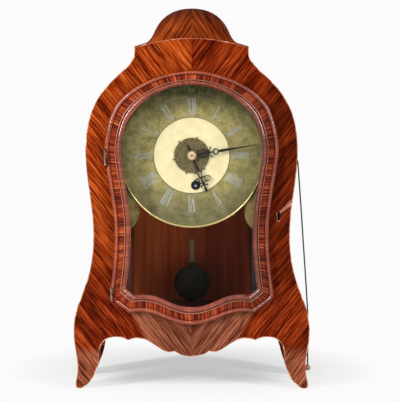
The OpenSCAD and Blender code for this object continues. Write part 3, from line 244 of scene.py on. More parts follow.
def grain(s, across, along, side, width):
    """Streaks of a veneer: broad ones about width metres wide, fine pores and slow drift."""
    broad = s.streaks(across, along, side, width, 1.0, 0.035, 3.0, 0.65)
    fine = s.streaks(across, along, side, width, 2.6, 0.06, 2.0, 0.6)
    drift = s.streaks(across, along, side, width, 0.12, 0.03, 1.0, 0.5)
    return s.sum((broad, 0.85), (fine, 0.45), (drift, 0.35)), fine


def thin_veins(s, across, along, side, width):
    """How strongly a dark and a bright vein show at a place: both nought between the veins."""
    lines = s.streaks(across, along, side, width, 1.5, 0.03, 2.0, 0.6)
    return s.span(lines, 0.43, 0.35, 0.0, 0.75), s.span(lines, 0.57, 0.66, 0.0, 0.6)


def veined(s, level, veins, wood):
    """A palette's colour at each level, with the veins in its darkest and lightest."""
    dark, bright = veins
    return s.mix(bright, s.mix(dark, s.ramp(level, wood), wood[0][1]), wood[-1][1])


class Veneer(Shader):
    """Streaks at slope degrees: matched about the middle line on a front, or plain on a side."""

    def __init__(self, name, slope, width, matched=True, bend=0.007):
        super().__init__(name)
        out = self.math("ABSOLUTE", self.x) if matched else self.y
        side = self.times(self.math("SIGN", self.x), 0.45)
        wander = self.spots(13.0)
        turn = math.radians(slope)
        across = self.sum((self.z, math.cos(turn)), (out, -math.sin(turn)), (wander, bend))
        along = self.sum((out, math.cos(turn)), (self.z, math.sin(turn)))
        streaks, self.fine = grain(self, across, along, side, width)
        self.level = self.math("MULTIPLY_ADD", streaks, 1.15, -0.47)
        self.veins = thin_veins(self, across, along, side, width)

    def tone(self, wood):
        return veined(self, self.level, self.veins, wood)

    def finish(self, colour, polish=0.03, rough=0.36):
        """A thin varnish, rougher in the pores."""
        roughness = self.span(self.fine, 0.3, 0.7, rough + 0.08, rough - 0.04)
        return self.surface(colour, roughness, self.bump(self.fine, FINE_PORE, 0.4),
                            Coat_Weight=polish, Coat_Roughness=0.15, Specular_IOR_Level=0.0)


# The worn strip of veneer that leaves the keyhole, in metres, with its lean in degrees
STRIP_START = (0.1125, 0.2305)
STRIP_LENGTH = 0.022
STRIP_HALVES = (0.0012, 0.0036)  # half its width at its start and at its end
STRIP_ANGLE = 41


def worn_strip(v):
    """How bare the veneer is along the strip that runs from the keyhole up to the right edge."""
    turn = math.radians(STRIP_ANGLE)
    off_x = v.math("SUBTRACT", v.x, STRIP_START[0])
    off_z = v.math("SUBTRACT", v.z, STRIP_START[1])
    along = v.sum((off_x, math.cos(turn)), (off_z, math.sin(turn)))
    across = v.sum((off_x, -math.sin(turn)), (off_z, math.cos(turn)), (v.fine, 0.001))
    half = v.span(along, 0.0, STRIP_LENGTH, *STRIP_HALVES)
    within = v.span(v.math("DIVIDE", v.math("ABSOLUTE", across), half), 1.1, 0.5)
    lines = v.noise(v.vector(v.times(along, 60.0), v.times(across, 900.0)))
    bare = v.times(v.span(along, -0.001, 0.001), v.span(lines, 0.4, 0.58, 0.15, 0.85))
    return v.times(within, bare)


# Fields of the front board, in metres: each pair is where a field starts and where it is full
APRON_REACH = 0.0235  # half the apron's width at the floor
APRON_SLOPE = 0.567  # how fast its two sides lean out
APRON_TOP = 0.12
LIT_LEFT_UP = (0.13, 0.22)
FOOT_FROM = (0.056, 0.044)
WAIST_OUT = (0.085, 0.12)
WAIST_UP = (0.12, 0.17)
MIDDLE_IN = (0.055, 0.01)
DOME_SHADE_UP = (0.478, 0.5)


def front_veneer():
    """The front board: red, with painted light that makes its upper left golden, a painted reflection of the
    pale floor that makes the apron and the feet mauve, painted shade on its right side at the waist, and
    darker in the apron's middle.
    """
    v = Veneer("front_veneer", FRONT_SLOPE, FRONT_STREAK)
    out = v.math("ABSOLUTE", v.x)
    # painted light: the left side turns lighter and golden from the waist up
    gold = v.times(v.math("LESS_THAN", v.x, 0.0), v.span(v.z, *LIT_LEFT_UP))
    colour = v.mix(gold, v.tone(RED_WOOD), v.tone(LIT_RED_WOOD))
    lean = v.sum((out, 1.0), (v.z, -APRON_SLOPE))
    apron = v.times(v.math("LESS_THAN", lean, APRON_REACH), v.math("LESS_THAN", v.z, APRON_TOP))
    foot = v.times(v.span(v.z, *FOOT_FROM), 0.75)
    # painted reflection of the pale floor: the apron and the feet turn mauve
    colour = v.mix(v.math("MAXIMUM", apron, foot), colour, v.tone(FLOOR_SHEEN_WOOD))
    # darker in the apron's middle, and painted shade on the right side at the waist
    middle = v.times(apron, v.span(out, *MIDDLE_IN, 0.06, 0.4))
    waist = v.times(v.span(v.x, *WAIST_OUT, 0.0, 0.5), v.span(v.z, *WAIST_UP))
    colour = v.mix(v.math("MAXIMUM", middle, waist), colour, rgb(40, 10, 4))
    return v.finish(v.mix(worn_strip(v), colour, rgb(196, 128, 104)))


def dome_veneer():
    """The dome: streaks leaning in to the middle, with painted shade darkening it towards the top edge."""
    v = Veneer("dome_veneer", DOME_SLOPE, FRONT_STREAK, bend=0.0025)
    # painted shade: darker towards the dome's top edge
    high = v.times(v.span(v.z, *DOME_SHADE_UP), 0.55)
    return v.finish(v.mix(high, v.tone(DOME_WOOD), rgb(52, 19, 10)), 0.04, 0.55)


def side_veneer():
    v = Veneer("side_veneer", SIDE_SLOPE, SIDE_STREAK, matched=False)
    return v.finish(v.tone(RED_WOOD))


def edge_highlight():
    """The front board's edge line: pale, a painted highlight along its rounded edge."""
    s = Shader("edge_highlight")
    stops = (0.36, 0.50, 0.62)
    colour = s.ramp(s.spots(70.0, 4.0, 0.65), palette(stops, (112, 44, 22), (168, 96, 62), (224, 178, 146)))
    return s.surface(colour, 0.4, Coat_Weight=0.3, Coat_Roughness=0.2, Specular_IOR_Level=0.1)


def lip_wood():
    """The door's frame where it shows round the moulding."""
    s = Shader("lip_wood")
    streaks, fine = grain(s, s.x, s.z, 0.0, LIP_STREAK)
    colour = s.ramp(s.math("SUBTRACT", streaks, 0.325), BAND_WOOD)
    return s.surface(colour, 0.45, s.bump(fine, FINE_PORE, 0.4), Coat_Weight=0.2, Specular_IOR_Level=0.05)


# The moulding: places across it are shares of its width, from its outer edge
BAND_FROM, BAND_TO = 0.265, 0.61
RIDGE_SHARE, RIDGE_REACH = 0.648, 0.022
GROOVE_SHARES, GROOVE_REACH = (0.27, 0.612, 0.697), 0.014
MOULDING_WIDTH = 0.023
SHADED_OUT = (0.02, 0.08)  # painted shade: it darkens from left to right between these two places, in metres


def moulding_wood():
    """The door's moulding: a cross-grained band between two beads, darker along its grooves, with a painted
    highlight on its ridge and painted shade towards its right side.
    """
    s = Shader("moulding_wood")
    run, share = s.coordinates("UV")[:2]
    drift = s.noise(s.vector(s.times(run, 30.0), share), 1.0, 1.0)
    across = s.sum((run, 1.0), (drift, 0.004))
    along = s.times(share, MOULDING_WIDTH)
    streaks, fine = grain(s, across, along, 0.0, BAND_STREAK)
    level = s.math("MULTIPLY_ADD", streaks, 1.8, -0.98)
    band = veined(s, level, thin_veins(s, across, along, 0.3, BAND_VEIN), BAND_WOOD)
    run_lines = s.noise(s.vector(s.times(run, 28.0), s.times(share, 26.0)), 1.0, 3.0, 0.6)
    bead = s.sum((level, 0.3), (run_lines, 0.7))
    after = s.math("GREATER_THAN", share, BAND_TO)
    colour = s.mix(s.math("LESS_THAN", share, BAND_FROM), band, s.ramp(bead, BEAD_WOOD))
    colour = s.mix(after, colour, s.ramp(bead, INNER_WOOD))
    # painted highlight: a pale line along the raised ridge
    ridge = s.math("COMPARE", share, RIDGE_SHARE, RIDGE_REACH)
    colour = s.mix(s.times(ridge, 0.7), colour, rgb(196, 132, 102))
    # darker along the grooves
    for groove in GROOVE_SHARES:
        groove_dark = s.math("COMPARE", share, groove, GROOVE_REACH)
        colour = s.mix(s.times(groove_dark, 0.85), colour, rgb(34, 9, 5))
    # painted shade: darker towards the right
    colour = s.mix(s.span(s.x, *SHADED_OUT, 0.0, 0.46), colour, rgb(44, 8, 2))
    flat = s.times(s.math("GREATER_THAN", share, BAND_FROM), s.math("LESS_THAN", share, BAND_TO))
    gloss = s.span(flat, 0.0, 1.0, 0.85, 0.12)
    return s.surface(colour, 0.34, s.bump(fine, FINE_PORE, 0.3), Coat_Weight=gloss, Coat_Roughness=0.16,
                     Coat_IOR=1.72, Specular_IOR_Level=0.0)


# Straight grain: its lines in a metre, across and along it
CROSS_GRAIN = 90.0
LONG_GRAIN = 6.0
UPRIGHT = (CROSS_GRAIN, CROSS_GRAIN, LONG_GRAIN)
BACK_GRAIN = (110.0, 110.0, 5.0)

# The back board, in metres: where the light on it fades from left to right, and its inner face's depth
LIT_TO = (-0.01, 0.03)
BACK_SKIN = 0.001


def plain_wood(name, dark, light, scale, rough=0.5, polish=0.1):
    """Straight-grained wood, with its grain along the axis that has the least scale."""
    s = Shader(name)
    grown = s.stretched(*scale)
    lines = s.noise(grown, 1.0, 4.0, 0.6, 0.3)
    fine = s.noise(grown, 6.0, 2.0, 0.6)
    colour = s.shades(s.sum((lines, 0.75), (fine, 0.25)), dark, light)
    return s.surface(colour, rough, s.bump(fine, COARSE_PORE, 0.5), Coat_Weight=polish, Coat_Roughness=0.2)


def back_wood():
    """The back board: red inside, with painted light on its left fading to painted shade on its right, and
    plain brown outside.
    """
    s = Shader("back_wood")
    grown = s.stretched(*BACK_GRAIN)
    lines = s.noise(grown, 1.0, 4.0, 0.6, 0.3)
    fine = s.noise(grown, 5.0, 2.0, 0.6)
    level = s.sum((lines, 0.7), (fine, 0.3))
    # painted light on the left half and painted shade on the right, as lit and shaded copies of the red
    lit = s.shades(level, rgb(206, 78, 32), rgb(255, 128, 62))
    dull = s.shades(level, rgb(126, 48, 26), rgb(186, 74, 40))
    outer = s.shades(level, rgb(74, 36, 20), rgb(122, 68, 40))
    inside = s.mix(s.span(s.x, *LIT_TO), lit, dull)
    behind = s.math("GREATER_THAN", s.y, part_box("back_board")[0].y + BACK_SKIN)
    return s.surface(s.mix(behind, inside, outer), 0.6, s.bump(fine, COARSE_PORE, 0.5),
                     Specular_IOR_Level=0.05)


# Metals and paint
def front_of(node):
    """The Y of a node's front, to a micrometre."""
    return round(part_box(node)[0].y, 6)


def middle_of(node):
    """The X and Z of a node's middle."""
    low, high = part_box(node)
    return (low.x + high.x) / 2, (low.z + high.z) / 2


DIAL_Z = round(middle_of("dial_plate")[1], 6)


def metal(name, dark, light, rough, metallic=1.0, scale=180.0, specular=0.5):
    """Metal or bronzed paint with a mottled tone and fine scratches."""
    s = Shader(name)
    mottle = s.spots(scale, 4.0, 0.6)
    scratch = s.noise(s.vector(s.times(s.x, 2600.0), s.y, s.times(s.z, 260.0)), 1.0, 1.0)
    roughness = s.span(mottle, 0.3, 0.7, rough * 1.25, rough * 0.8)
    return s.surface(s.shades(mottle, dark, light), roughness, s.bump(scratch, 0.00001, 0.3),
                     Metallic=metallic, Specular_IOR_Level=specular)


# The dial's looks, in metres from its middle: each pair is where a look starts and where it is full
EDGE_OUT = (0.066, 0.095)
EDGE_UP = (-0.06, 0.0)
SHADE_UP = (0.036, 0.09)
FADED_DOWN = (-0.03, -0.075)
RIM_LIT_DOWN = (-0.028, -0.07)
COLLET_DARK = (0.0036, 0.006)


def dial_paint():
    """The dial plate's worn olive paint, with painted shade that makes it darker and greener towards its
    edge and top.
    """
    s = Shader("dial_paint")
    up = s.math("SUBTRACT", s.z, DIAL_Z)
    cloud = s.spots(38.0, 3.0, 0.55)
    worn = s.span(s.spots(110.0, 4.0, 0.65), 0.35, 0.66)
    grit = s.spots(420.0, 3.0, 0.65)
    warm = s.mix(worn, rgb(142, 135, 82), rgb(181, 169, 110))
    shaded_olive = s.mix(worn, rgb(66, 64, 36), rgb(110, 105, 63))
    faded = s.mix(worn, rgb(86, 83, 59), rgb(106, 101, 73))
    # painted shade: darker towards the edge, more so above, and towards the top
    edge = s.times(s.span(s.length(s.x, up), *EDGE_OUT), s.span(up, *EDGE_UP, 0.35, 1.0))
    fac = s.sum((edge, 0.56), (s.span(up, *SHADE_UP), 0.6), (cloud, 0.3))
    colour = s.mix(s.span(fac, 0.25, 1.0), warm, shaded_olive)
    colour = s.mix(s.span(up, *FADED_DOWN, 0.0, 0.8), colour, faded)
    colour = s.mix(s.span(grit, 0.52, 0.72, 0.0, 0.5), colour, rgb(52, 48, 28))
    return s.surface(colour, s.span(grit, 0.3, 0.7, 0.5, 0.38), s.bump(grit, 0.00004, 0.4),
                     Specular_IOR_Level=0.12)


def rim_gilt():
    """The dial's rim: a painted highlight makes it bright along its lower half, and painted shade keeps it
    dark above.
    """
    s = Shader("rim_gilt")
    spots = s.spots(240.0, 3.0, 0.6)
    # painted highlight: bright along the lower half of the rim
    low = s.span(s.sum((s.z, 1.0), (spots, 0.03)), DIAL_Z + RIM_LIT_DOWN[0], DIAL_Z + RIM_LIT_DOWN[1])
    colour = s.mix(low, rgb(84, 75, 43), rgb(214, 192, 128))
    return s.surface(colour, s.span(spots, 0.3, 0.7, 0.42, 0.26), Metallic=0.8)


# Small metal pieces, in metres: each pair is where a look starts and where it is full
ROD_SHADE_UP = (0.188, 0.19)
SQUARE_HIGHLIGHT_OUT = (0.0012, 0.0019)  # out from the winding square's middle
LINER_LIT_LEFT = (0.0018, 0.0006)  # in from the keyhole liner's left edge
LINER_LIT_FOOT = (0.0022, 0.0008)  # up from its foot


def rod_brass():
    """The pendulum's rod: dull brass above the bob, and higher up the back board's red-brown, as painted
    shade where the dial's shadow hides it.
    """
    s = Shader("rod_brass")
    brass_tone = s.mix(s.spots(180.0, 4.0, 0.6), rgb(122, 102, 68), rgb(180, 156, 112))
    # painted shade: the rod takes the back board's red-brown higher up
    colour = s.mix(s.span(s.z, *ROD_SHADE_UP), brass_tone, rgb(150, 66, 34))
    return s.surface(colour, 0.6, Specular_IOR_Level=0.1)


def winding_steel():
    """The winding square: a painted highlight at its end's middle, dark round it."""
    s = Shader("winding_steel")
    middle_x, middle_z = middle_of("winding_arbor")
    radius = s.length(s.math("SUBTRACT", s.x, middle_x), s.math("SUBTRACT", s.z, middle_z))
    # painted highlight at the square's middle
    colour = s.mix(s.span(radius, *SQUARE_HIGHLIGHT_OUT), rgb(214, 222, 240), rgb(30, 32, 40))
    return s.surface(colour, 0.35, Metallic=0.3)


def liner_shade_and_highlight():
    """The keyhole's liner: nearly black, dark patina together with painted shade of the hole, and a painted
    highlight along its left edge and its foot.
    """
    s = Shader("liner_shade_and_highlight")
    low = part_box("escutcheon")[0]
    left = s.span(s.x, low.x + LINER_LIT_LEFT[0], low.x + LINER_LIT_LEFT[1])
    foot = s.span(s.z, low.z + LINER_LIT_FOOT[0], low.z + LINER_LIT_FOOT[1])
    patchy = s.span(s.spots(300.0, 4.0, 0.6), 0.3, 0.6, 0.5, 1.0)
    # painted highlights along the left edge and the foot
    lit_edges = s.times(s.math("MAXIMUM", left, foot), patchy)
    colour = s.mix(lit_edges, rgb(22, 10, 6), rgb(190, 146, 134))
    return s.surface(colour, 0.5, Metallic=0.2, Specular_IOR_Level=0.1)


def collet_ivory():
    """The hands' collet: pale in its middle, dark where it meets the hands."""
    s = Shader("collet_ivory")
    radius = s.length(s.x, s.math("SUBTRACT", s.z, DIAL_Z))
    colour = s.mix(s.span(radius, *COLLET_DARK), rgb(226, 206, 174), rgb(112, 88, 62))
    return s.surface(colour, 0.4, Specular_IOR_Level=0.3)


def disc_metal():
    """The alarm disc's speckled, pitted metal."""
    s = Shader("disc_metal")
    grit = s.spots(1000.0, 4.0, 0.75)
    colour = s.shades(grit, rgb(44, 39, 22), rgb(132, 120, 80), 0.40, 0.60)
    return s.surface(colour, 0.5, s.bump(grit, 0.00006, 0.6), Specular_IOR_Level=0.2)


def cream_ring():
    s = Shader("cream_ring")
    colour = s.shades(s.spots(70.0, 3.0), rgb(222, 209, 158), rgb(234, 223, 176))
    return s.surface(colour, 0.42, Specular_IOR_Level=0.35)


def glass():
    s = Shader("clear_glass")
    return s.surface(rgb(10, 14, 12), 0.03, s.bump(s.spots(30.0, 1.0), 0.0002, 0.1), Alpha=0.05)


def cord_fibre():
    s = Shader("cord_fibre")
    fibre = s.spots(3000.0, 3.0)
    colour = s.shades(fibre, rgb(34, 38, 34), rgb(72, 74, 68), 0.3, 0.7)
    return s.surface(colour, 0.85, s.bump(fibre, 0.0001, 0.6))


# Pieces
def assign(material, *names):
    for name in names:
        for slot in nodes[name].material_slots:
            slot.material = material


# Rounding of the CAD nodes' edges, in metres and degrees
ROUND_WIDTH = 0.001
ROUND_SEGMENTS = 2
WELD_REACH = 0.000002
FLAT_ANGLE = 0.6
SHARP_ANGLE = 38


def ease(*names):
    """Rounds the sharp edges of CAD nodes, with their flat faces joined first."""
    for name in names:
        piece = nodes[name]
        weld = piece.modifiers.new("weld", "WELD")
        weld.merge_threshold = WELD_REACH
        flat = piece.modifiers.new("planar", "DECIMATE")
        flat.decimate_type = "DISSOLVE"
        flat.angle_limit = math.radians(FLAT_ANGLE)
        round_over = piece.modifiers.new("round", "BEVEL")
        round_over.use_clamp_overlap = False
        round_over.width = ROUND_WIDTH
        round_over.segments = ROUND_SEGMENTS
        round_over.limit_method = "ANGLE"
        round_over.angle_limit = math.radians(SHARP_ANGLE)


def new_piece(name, mesh, material, body, slot, *replaced):
    """Makes a mesh a piece that rides on a body; the cord has none."""
    mesh.materials.append(material)
    piece = bpy.data.objects.new(name, mesh)
    scene.collection.objects.link(piece)
    if replaced:
        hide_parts(*replaced)
    if body:
        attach(piece, body)
    return piece


def mesh_from(bm, name):
    mesh = bpy.data.meshes.new(name)
    bm.to_mesh(mesh)
    bm.free()
    return mesh


def closed_mesh(bm, name):
    """The mesh of closed solids, with all their faces outwards."""
    bmesh.ops.recalc_face_normals(bm, faces=bm.faces)
    return mesh_from(bm, name)


def join_rings(bm, near, far):
    """Faces between two closed rings of as many points."""
    for k in range(len(near)):
        n = (k + 1) % len(near)
        bm.faces.new((near[k], near[n], far[n], far[k]))


# The pull cord's route from the eyelet to the knob, as in the part, in millimetres
CORD_POINTS = [(140.0, 300), (141.4, 299.6), (142.3, 298.4), (142.7, 296.5), (143.3, 290), (144.5, 274),
               (146, 253), (147.6, 231), (149.1, 209), (150.8, 184), (152.5, 160), (154.4, 132),
               (155.9, 108), (156.7, 94), (157, 84), (157, 72), (157, 58), (157, 44), (157, 32), (157, 22)]

# The cord's place in depth, its radius and how far apart its sections are, in metres
CORD_Y = -0.011
CORD_R = 0.00105
CORD_STEP = 0.0007
CORD_SIDES = 18

# The cord's strands: their turn's length in metres, and how deep they are laid, as a share of the radius
STRANDS = 3
STRAND_PITCH = 0.0075
STRAND_RELIEF = 0.22


def cord_route():
    """The cord's smooth middle line, with a point every CORD_STEP metres."""
    exit_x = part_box("pull_cord")[0].x
    marks = [Vector((x * MM, CORD_Y, z * MM)) for x, z in CORD_POINTS]
    marks[0].x = exit_x
    line = []
    for i in range(len(marks) - 1):
        a = marks[max(i - 1, 0)]
        b = marks[i]
        c = marks[i + 1]
        d = marks[min(i + 2, len(marks) - 1)]
        count = max(2, round((c - b).length / CORD_STEP))
        for k in range(count):
            t = k / count
            line.append(0.5 * (2 * b + (c - a) * t + (2 * a - 5 * b + 4 * c - d) * t ** 2
                               + (3 * b - a - 3 * c + d) * t ** 3))
    line.append(marks[-1])
    return line


def cord_ring(bm, point, ahead, run):
    """One section of the cord, with a lobe for each strand, turned by how far along it lies."""
    out = Vector((-ahead.z, 0, ahead.x))
    ring = []
    for k in range(CORD_SIDES):
        angle = 2 * math.pi * k / CORD_SIDES
        lobe = abs(math.cos(STRANDS / 2 * (angle - 2 * math.pi * run / STRAND_PITCH)))
        r = CORD_R * (1 - STRAND_RELIEF + STRAND_RELIEF * lobe)
        way = math.cos(angle) * out + math.sin(angle) * Vector((0, 1, 0))
        ring.append(bm.verts.new(point + r * way))
    return ring


def add_cord():
    """Three strands laid together, drawn as one tube with a turning three-lobed section."""
    line = cord_route()
    bm = bmesh.new()
    rings = []
    run = 0.0
    for i, point in enumerate(line):
        if i:
            run += (point - line[i - 1]).length
        ahead = line[min(i + 1, len(line) - 1)] - line[max(i - 1, 0)]
        if i == 0:
            ahead = Vector((1, 0, 0))
        if i == len(line) - 1:
            ahead = Vector((0, 0, -1))
        rings.append(cord_ring(bm, point, ahead.normalized(), run))
    for near, far in zip(rings, rings[1:]):
        join_rings(bm, near, far)
    bm.faces.new(list(reversed(rings[0])))
    bm.faces.new(rings[-1])
    for face in bm.faces:
        face.smooth = True
    piece = new_piece("laid_cord", closed_mesh(bm, "laid_cord"), cord_fibre(), None, "cord", "pull_cord")
    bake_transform(piece)


add_camera()
add_cord()


# Right halves of the outlines, in millimetres: a curve is its two handles and its end, a line its end
DOOR_OUTER = [(0, 85), ((14, 85), (28, 91), (40, 96)), ((52, 101.5), (66, 104.5), (82.5, 101)),
              ((105, 118),), ((107, 120), (108.2, 122.5), (107.8, 126)),
              ((105.5, 145), (101, 175), (101, 204)), ((101, 247), (114, 293), (114, 313)),
              ((114, 335), (106, 363), (100.2, 372.4)), ((83, 397), (42, 418), (0, 418))]
DOOR_INNER = [(0, 108.2), ((17, 108.2), (27, 114), (39, 119.5)), ((52, 125.5), (66, 126.3), (75, 123.5)),
              ((84, 130.5),), ((85.2, 131.6), (86.3, 132.6), (86.1, 134.5)),
              ((83, 152.2), (80, 178), (80, 204)), ((80, 250), (92.5, 291), (92.5, 313)),
              ((92.5, 332), (86, 349), (79, 360)), ((63, 383), (35, 400), (0, 400))]
CASE_EDGE = [(0, 42.5), ((9, 42.5), (17, 45), (22.7, 49.5)), ((30, 45.8), (38, 50), (47, 56.7)),
             ((57, 64), (70, 70.5), (83.8, 64.2)), ((91, 68.5), (105, 71.5), (114.5, 64)),
             ((119, 60), (121.5, 54.5), (122, 48)), ((122.5, 36), (125, 10), (146, 0)), ((151, 0),),
             ((152.5, 0.3), (153.5, 2), (153.5, 4)), ((153.3, 12), (150.5, 16), (150.5, 25)),
             ((150.5, 45), (155.5, 56), (155.5, 78)), ((155.5, 119), (129, 134), (129, 202)),
             ((129, 247), (139, 271), (139, 316)), ((139, 407), (74.5, 412.5), (74.5, 443.5)),
             ((74.5, 448.5),), ((49.667, 456.833), (24.833, 461), (0, 461))]
CURVE_STEPS = 14  # points for each curve or line
CREASE_ANGLE = 40  # a swept skin is smooth up to this angle, in degrees
BEAD_FULLNESS = 0.8  # a bead's section is a half sine to this power: rounder under 1


def trace(outline):
    """The outline's right half as points, the same count for each curve or line."""
    points = [Vector(outline[0])]
    for part in outline[1:]:
        a = points[-1]
        d = Vector(part[-1])
        b, c = [Vector(p) for p in part[:-1]] or [a.lerp(d, 1 / 3), a.lerp(d, 2 / 3)]
        for k in range(1, CURVE_STEPS + 1):
            t = k / CURVE_STEPS
            u = 1 - t
            points.append(a * u ** 3 + b * 3 * u * u * t + c * 3 * u * t * t + d * t ** 3)
    return points


def both_halves(outline):
    """The closed outline's points; those on the middle line come once."""
    points = trace(outline)
    return points + [Vector((-p.x, p.y)) for p in reversed(points[1:-1])]


def inwards(points, width):
    """The closed outline moved in by width millimetres."""
    moved = []
    for i, point in enumerate(points):
        way = (points[(i + 1) % len(points)] - points[i - 1]).normalized()
        moved.append(point + Vector((-way.y, way.x)) * width)
    return moved


def arch(start, end, low, high, rise, steps):
    """Points of a bead's section, from one foot to the other."""
    points = []
    for k in range(steps + 1):
        t = k / steps
        height = low + (high - low) * t + rise * math.sin(math.pi * t) ** BEAD_FULLNESS
        points.append((start + (end - start) * t, height))
    return points


# Sections: each point is a share of the width, from the outer edge, and a share of the height
MOULDING = ([(0, 0)] + arch(0, 0.25, 0.35, 0.5, 0.56, 14) + [(0.27, 0.3)]
            + arch(0.285, 0.605, 0.42, 0.34, 0.04, 6) + arch(0.62, 0.675, 0.34, 0.34, 0.17, 6)
            + [(0.695, 0.28)] + arch(0.715, 0.95, 0.34, 0.3, 0.34, 12) + [(1, 0.12), (1, 0)])
EDGE_LINE = [(0, -0.2), (0, 0.5), (0.2, 1), (0.8, 1), (1, 0.4), (1, -0.2)]

# The moulding's foot and its height, in metres
MOULDING_BACK = round(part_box("door_moulding")[1].y, 6)
MOULDING_RISE = MOULDING_BACK - front_of("door_moulding")

# The hinges' notches in the outer bead: each one's height and reach in millimetres, and the share cut away
NOTCHES = ((304, 9.6), (125, 9.6))
NOTCH_SHARE = 0.25

# The pale line along the front board's outline, a painted highlight on its edge: its limits in millimetres,
# and its height in metres
EDGE_FROM, EDGE_TO = 0.05, 1.05
EDGE_RISE = 0.0001


def least_share(point, notched):
    """Where the section starts at a point of the outline: further in beside a hinge."""
    cut = notched and point.x < 0 and any(abs(point.y - z) < reach for z, reach in NOTCHES)
    return NOTCH_SHARE if cut else 0.0


def sweep(name, outer, inner, section, back, rise, material, body, slot, *replaced, notched=False):
    """A section carried round between two closed outlines; its UV is the way round and the share across."""
    bm = bmesh.new()
    uv = bm.loops.layers.uv.new("run_and_share")
    rings = []
    runs = [0.0]
    for i, (a, b) in enumerate(zip(outer, inner)):
        least = least_share(a, notched)
        ring = []
        for share, height in section:
            spot = a.lerp(b, max(share, least))
            ring.append(bm.verts.new((spot.x * MM, back - height * rise, spot.y * MM)))
        rings.append(ring)
        ahead = (i + 1) % len(outer)
        runs.append(runs[-1] + (outer[ahead].lerp(inner[ahead], 0.5) - a.lerp(b, 0.5)).length * MM)
    for i, near in enumerate(rings):
        far = rings[(i + 1) % len(rings)]
        for k in range(len(section)):
            n = (k + 1) % len(section)
            face = bm.faces.new((near[k], far[k], far[n], near[n]))
            face.smooth = True
            corners = ((runs[i], k), (runs[i + 1], k), (runs[i + 1], n), (runs[i], n))
            for loop, (run, at) in zip(face.loops, corners):
                loop[uv].uv = (run, section[at][0])
    mesh = closed_mesh(bm, name)
    mesh.set_sharp_from_angle(angle=math.radians(CREASE_ANGLE))
    return new_piece(name, mesh, material, body, slot, *replaced)


case_line = both_halves(CASE_EDGE)
sweep("door_beads", both_halves(DOOR_OUTER), both_halves(DOOR_INNER), MOULDING,
      MOULDING_BACK, MOULDING_RISE, moulding_wood(), "door", "moulding_wood", "door_moulding", notched=True)
sweep("case_edge", inwards(case_line, EDGE_FROM), inwards(case_line, EDGE_TO), EDGE_LINE,
      front_of("front_board"), EDGE_RISE, edge_highlight(), "case", "kingwood")


# Drawn figures and lines of the dial are thin raised paint: depths in metres
DIAL_FRONT = front_of("dial_plate")
RING_FRONT = front_of("dial_centre")
KNOBS_STAND_OUT = 0.0002  # how far the alarm disc's small knobs stand in front of its face
DISC_FRONT = front_of("alarm_disc") + KNOBS_STAND_OUT
PAINT = 0.00006
BORDER_PAINT = 0.00008
FIGURE_PAINT = 0.00004
SUNK = 0.00001  # how far the paint goes into what carries it

# Radii and widths on the dial, in millimetres
LETTER_FOOT, LETTER_HEAD = 53.5, 75.5
STROKE = 0.75
SERIF = 0.4
SERIF_SHORT = 0.6
MINUTE_RINGS = (76.5, 78.6)
MINUTE_LINE = 0.35
TICK_FOOT = 76.8
MINUTE_FIGURES_R, MINUTE_FIGURES_SIZE = 85.5, 8.5
ALARM_FIGURES_R, ALARM_FIGURES_SIZE = 18.6, 4.2
BORDER_R = 50.1
BORDER_LINE = 0.55
CIRCLE_STEPS = 144

# Clock angles of an hour and a minute, in degrees
HOUR = 30
MINUTE = 6

# A letter's width and its strokes: places across it at the foot and the head, and its lines' shifts
LETTERS = {"I": (3.0, [(1.5, 1.5, (-0.6, 0.6))]),
           "V": (6.0, [(3.0, 0.9, (-0.5, 0.6)), (3.2, 5.3, (0.0,))]),
           "X": (6.0, [(5.0, 0.9, (-0.55, 0.55)), (0.9, 5.1, (0.0,))])}
HOURS = ["XII", "I", "II", "III", "IIII", "V", "VI", "VII", "VIII", "IX", "X", "XI"]


def prisms(name, shapes, front, thick, material, body, slot):
    """Flat shapes seen from the front, each a list of (x, z) in millimetres round the dial's middle."""
    bm = bmesh.new()
    for shape in shapes:
        near = [bm.verts.new((x * MM, front - thick, DIAL_Z + z * MM)) for x, z in shape]
        far = [bm.verts.new((x * MM, front + SUNK, DIAL_Z + z * MM)) for x, z in shape]
        bm.faces.new(near)
        bm.faces.new(list(reversed(far)))
        join_rings(bm, near, far)
    return new_piece(name, closed_mesh(bm, name), material, body, slot)


def on_dial(angle, u, v):
    """A place u across and v outwards on the ray at a clock angle in degrees."""
    a = math.radians(angle)
    return (u * math.cos(a) + v * math.sin(a), v * math.cos(a) - u * math.sin(a))


def bar(u0, v0, u1, v1, width):
    """A straight stroke from (u0, v0) to (u1, v1), as wide across as width."""
    h = width / 2
    return [(u0 - h, v0), (u0 + h, v0), (u1 + h, v1), (u1 - h, v1)]


def word_strokes(word):
    """The strokes of a Roman number, between two serifs as long as the word."""
    total = sum(LETTERS[c][0] for c in word)
    at = -total / 2
    strokes = [bar(0, LETTER_FOOT, 0, LETTER_FOOT + SERIF, total - SERIF_SHORT),
               bar(0, LETTER_HEAD - SERIF, 0, LETTER_HEAD, total - SERIF_SHORT)]
    for c in word:
        width, lines = LETTERS[c]
        for foot, head, shifts in lines:
            strokes += [bar(at + foot + d, LETTER_FOOT, at + head + d, LETTER_HEAD, STROKE) for d in shifts]
        at += width
    return strokes


def numerals():
    return [[on_dial(hour * HOUR, u, v) for u, v in stroke]
            for hour, word in enumerate(HOURS) for stroke in word_strokes(word)]


def circle_line(radius, width):
    """A thin ring as short flat pieces."""
    step = 360 / CIRCLE_STEPS
    return [[on_dial(k * step, 0, radius), on_dial((k + 1) * step, 0, radius),
             on_dial((k + 1) * step, 0, radius + width), on_dial(k * step, 0, radius + width)]
            for k in range(CIRCLE_STEPS)]


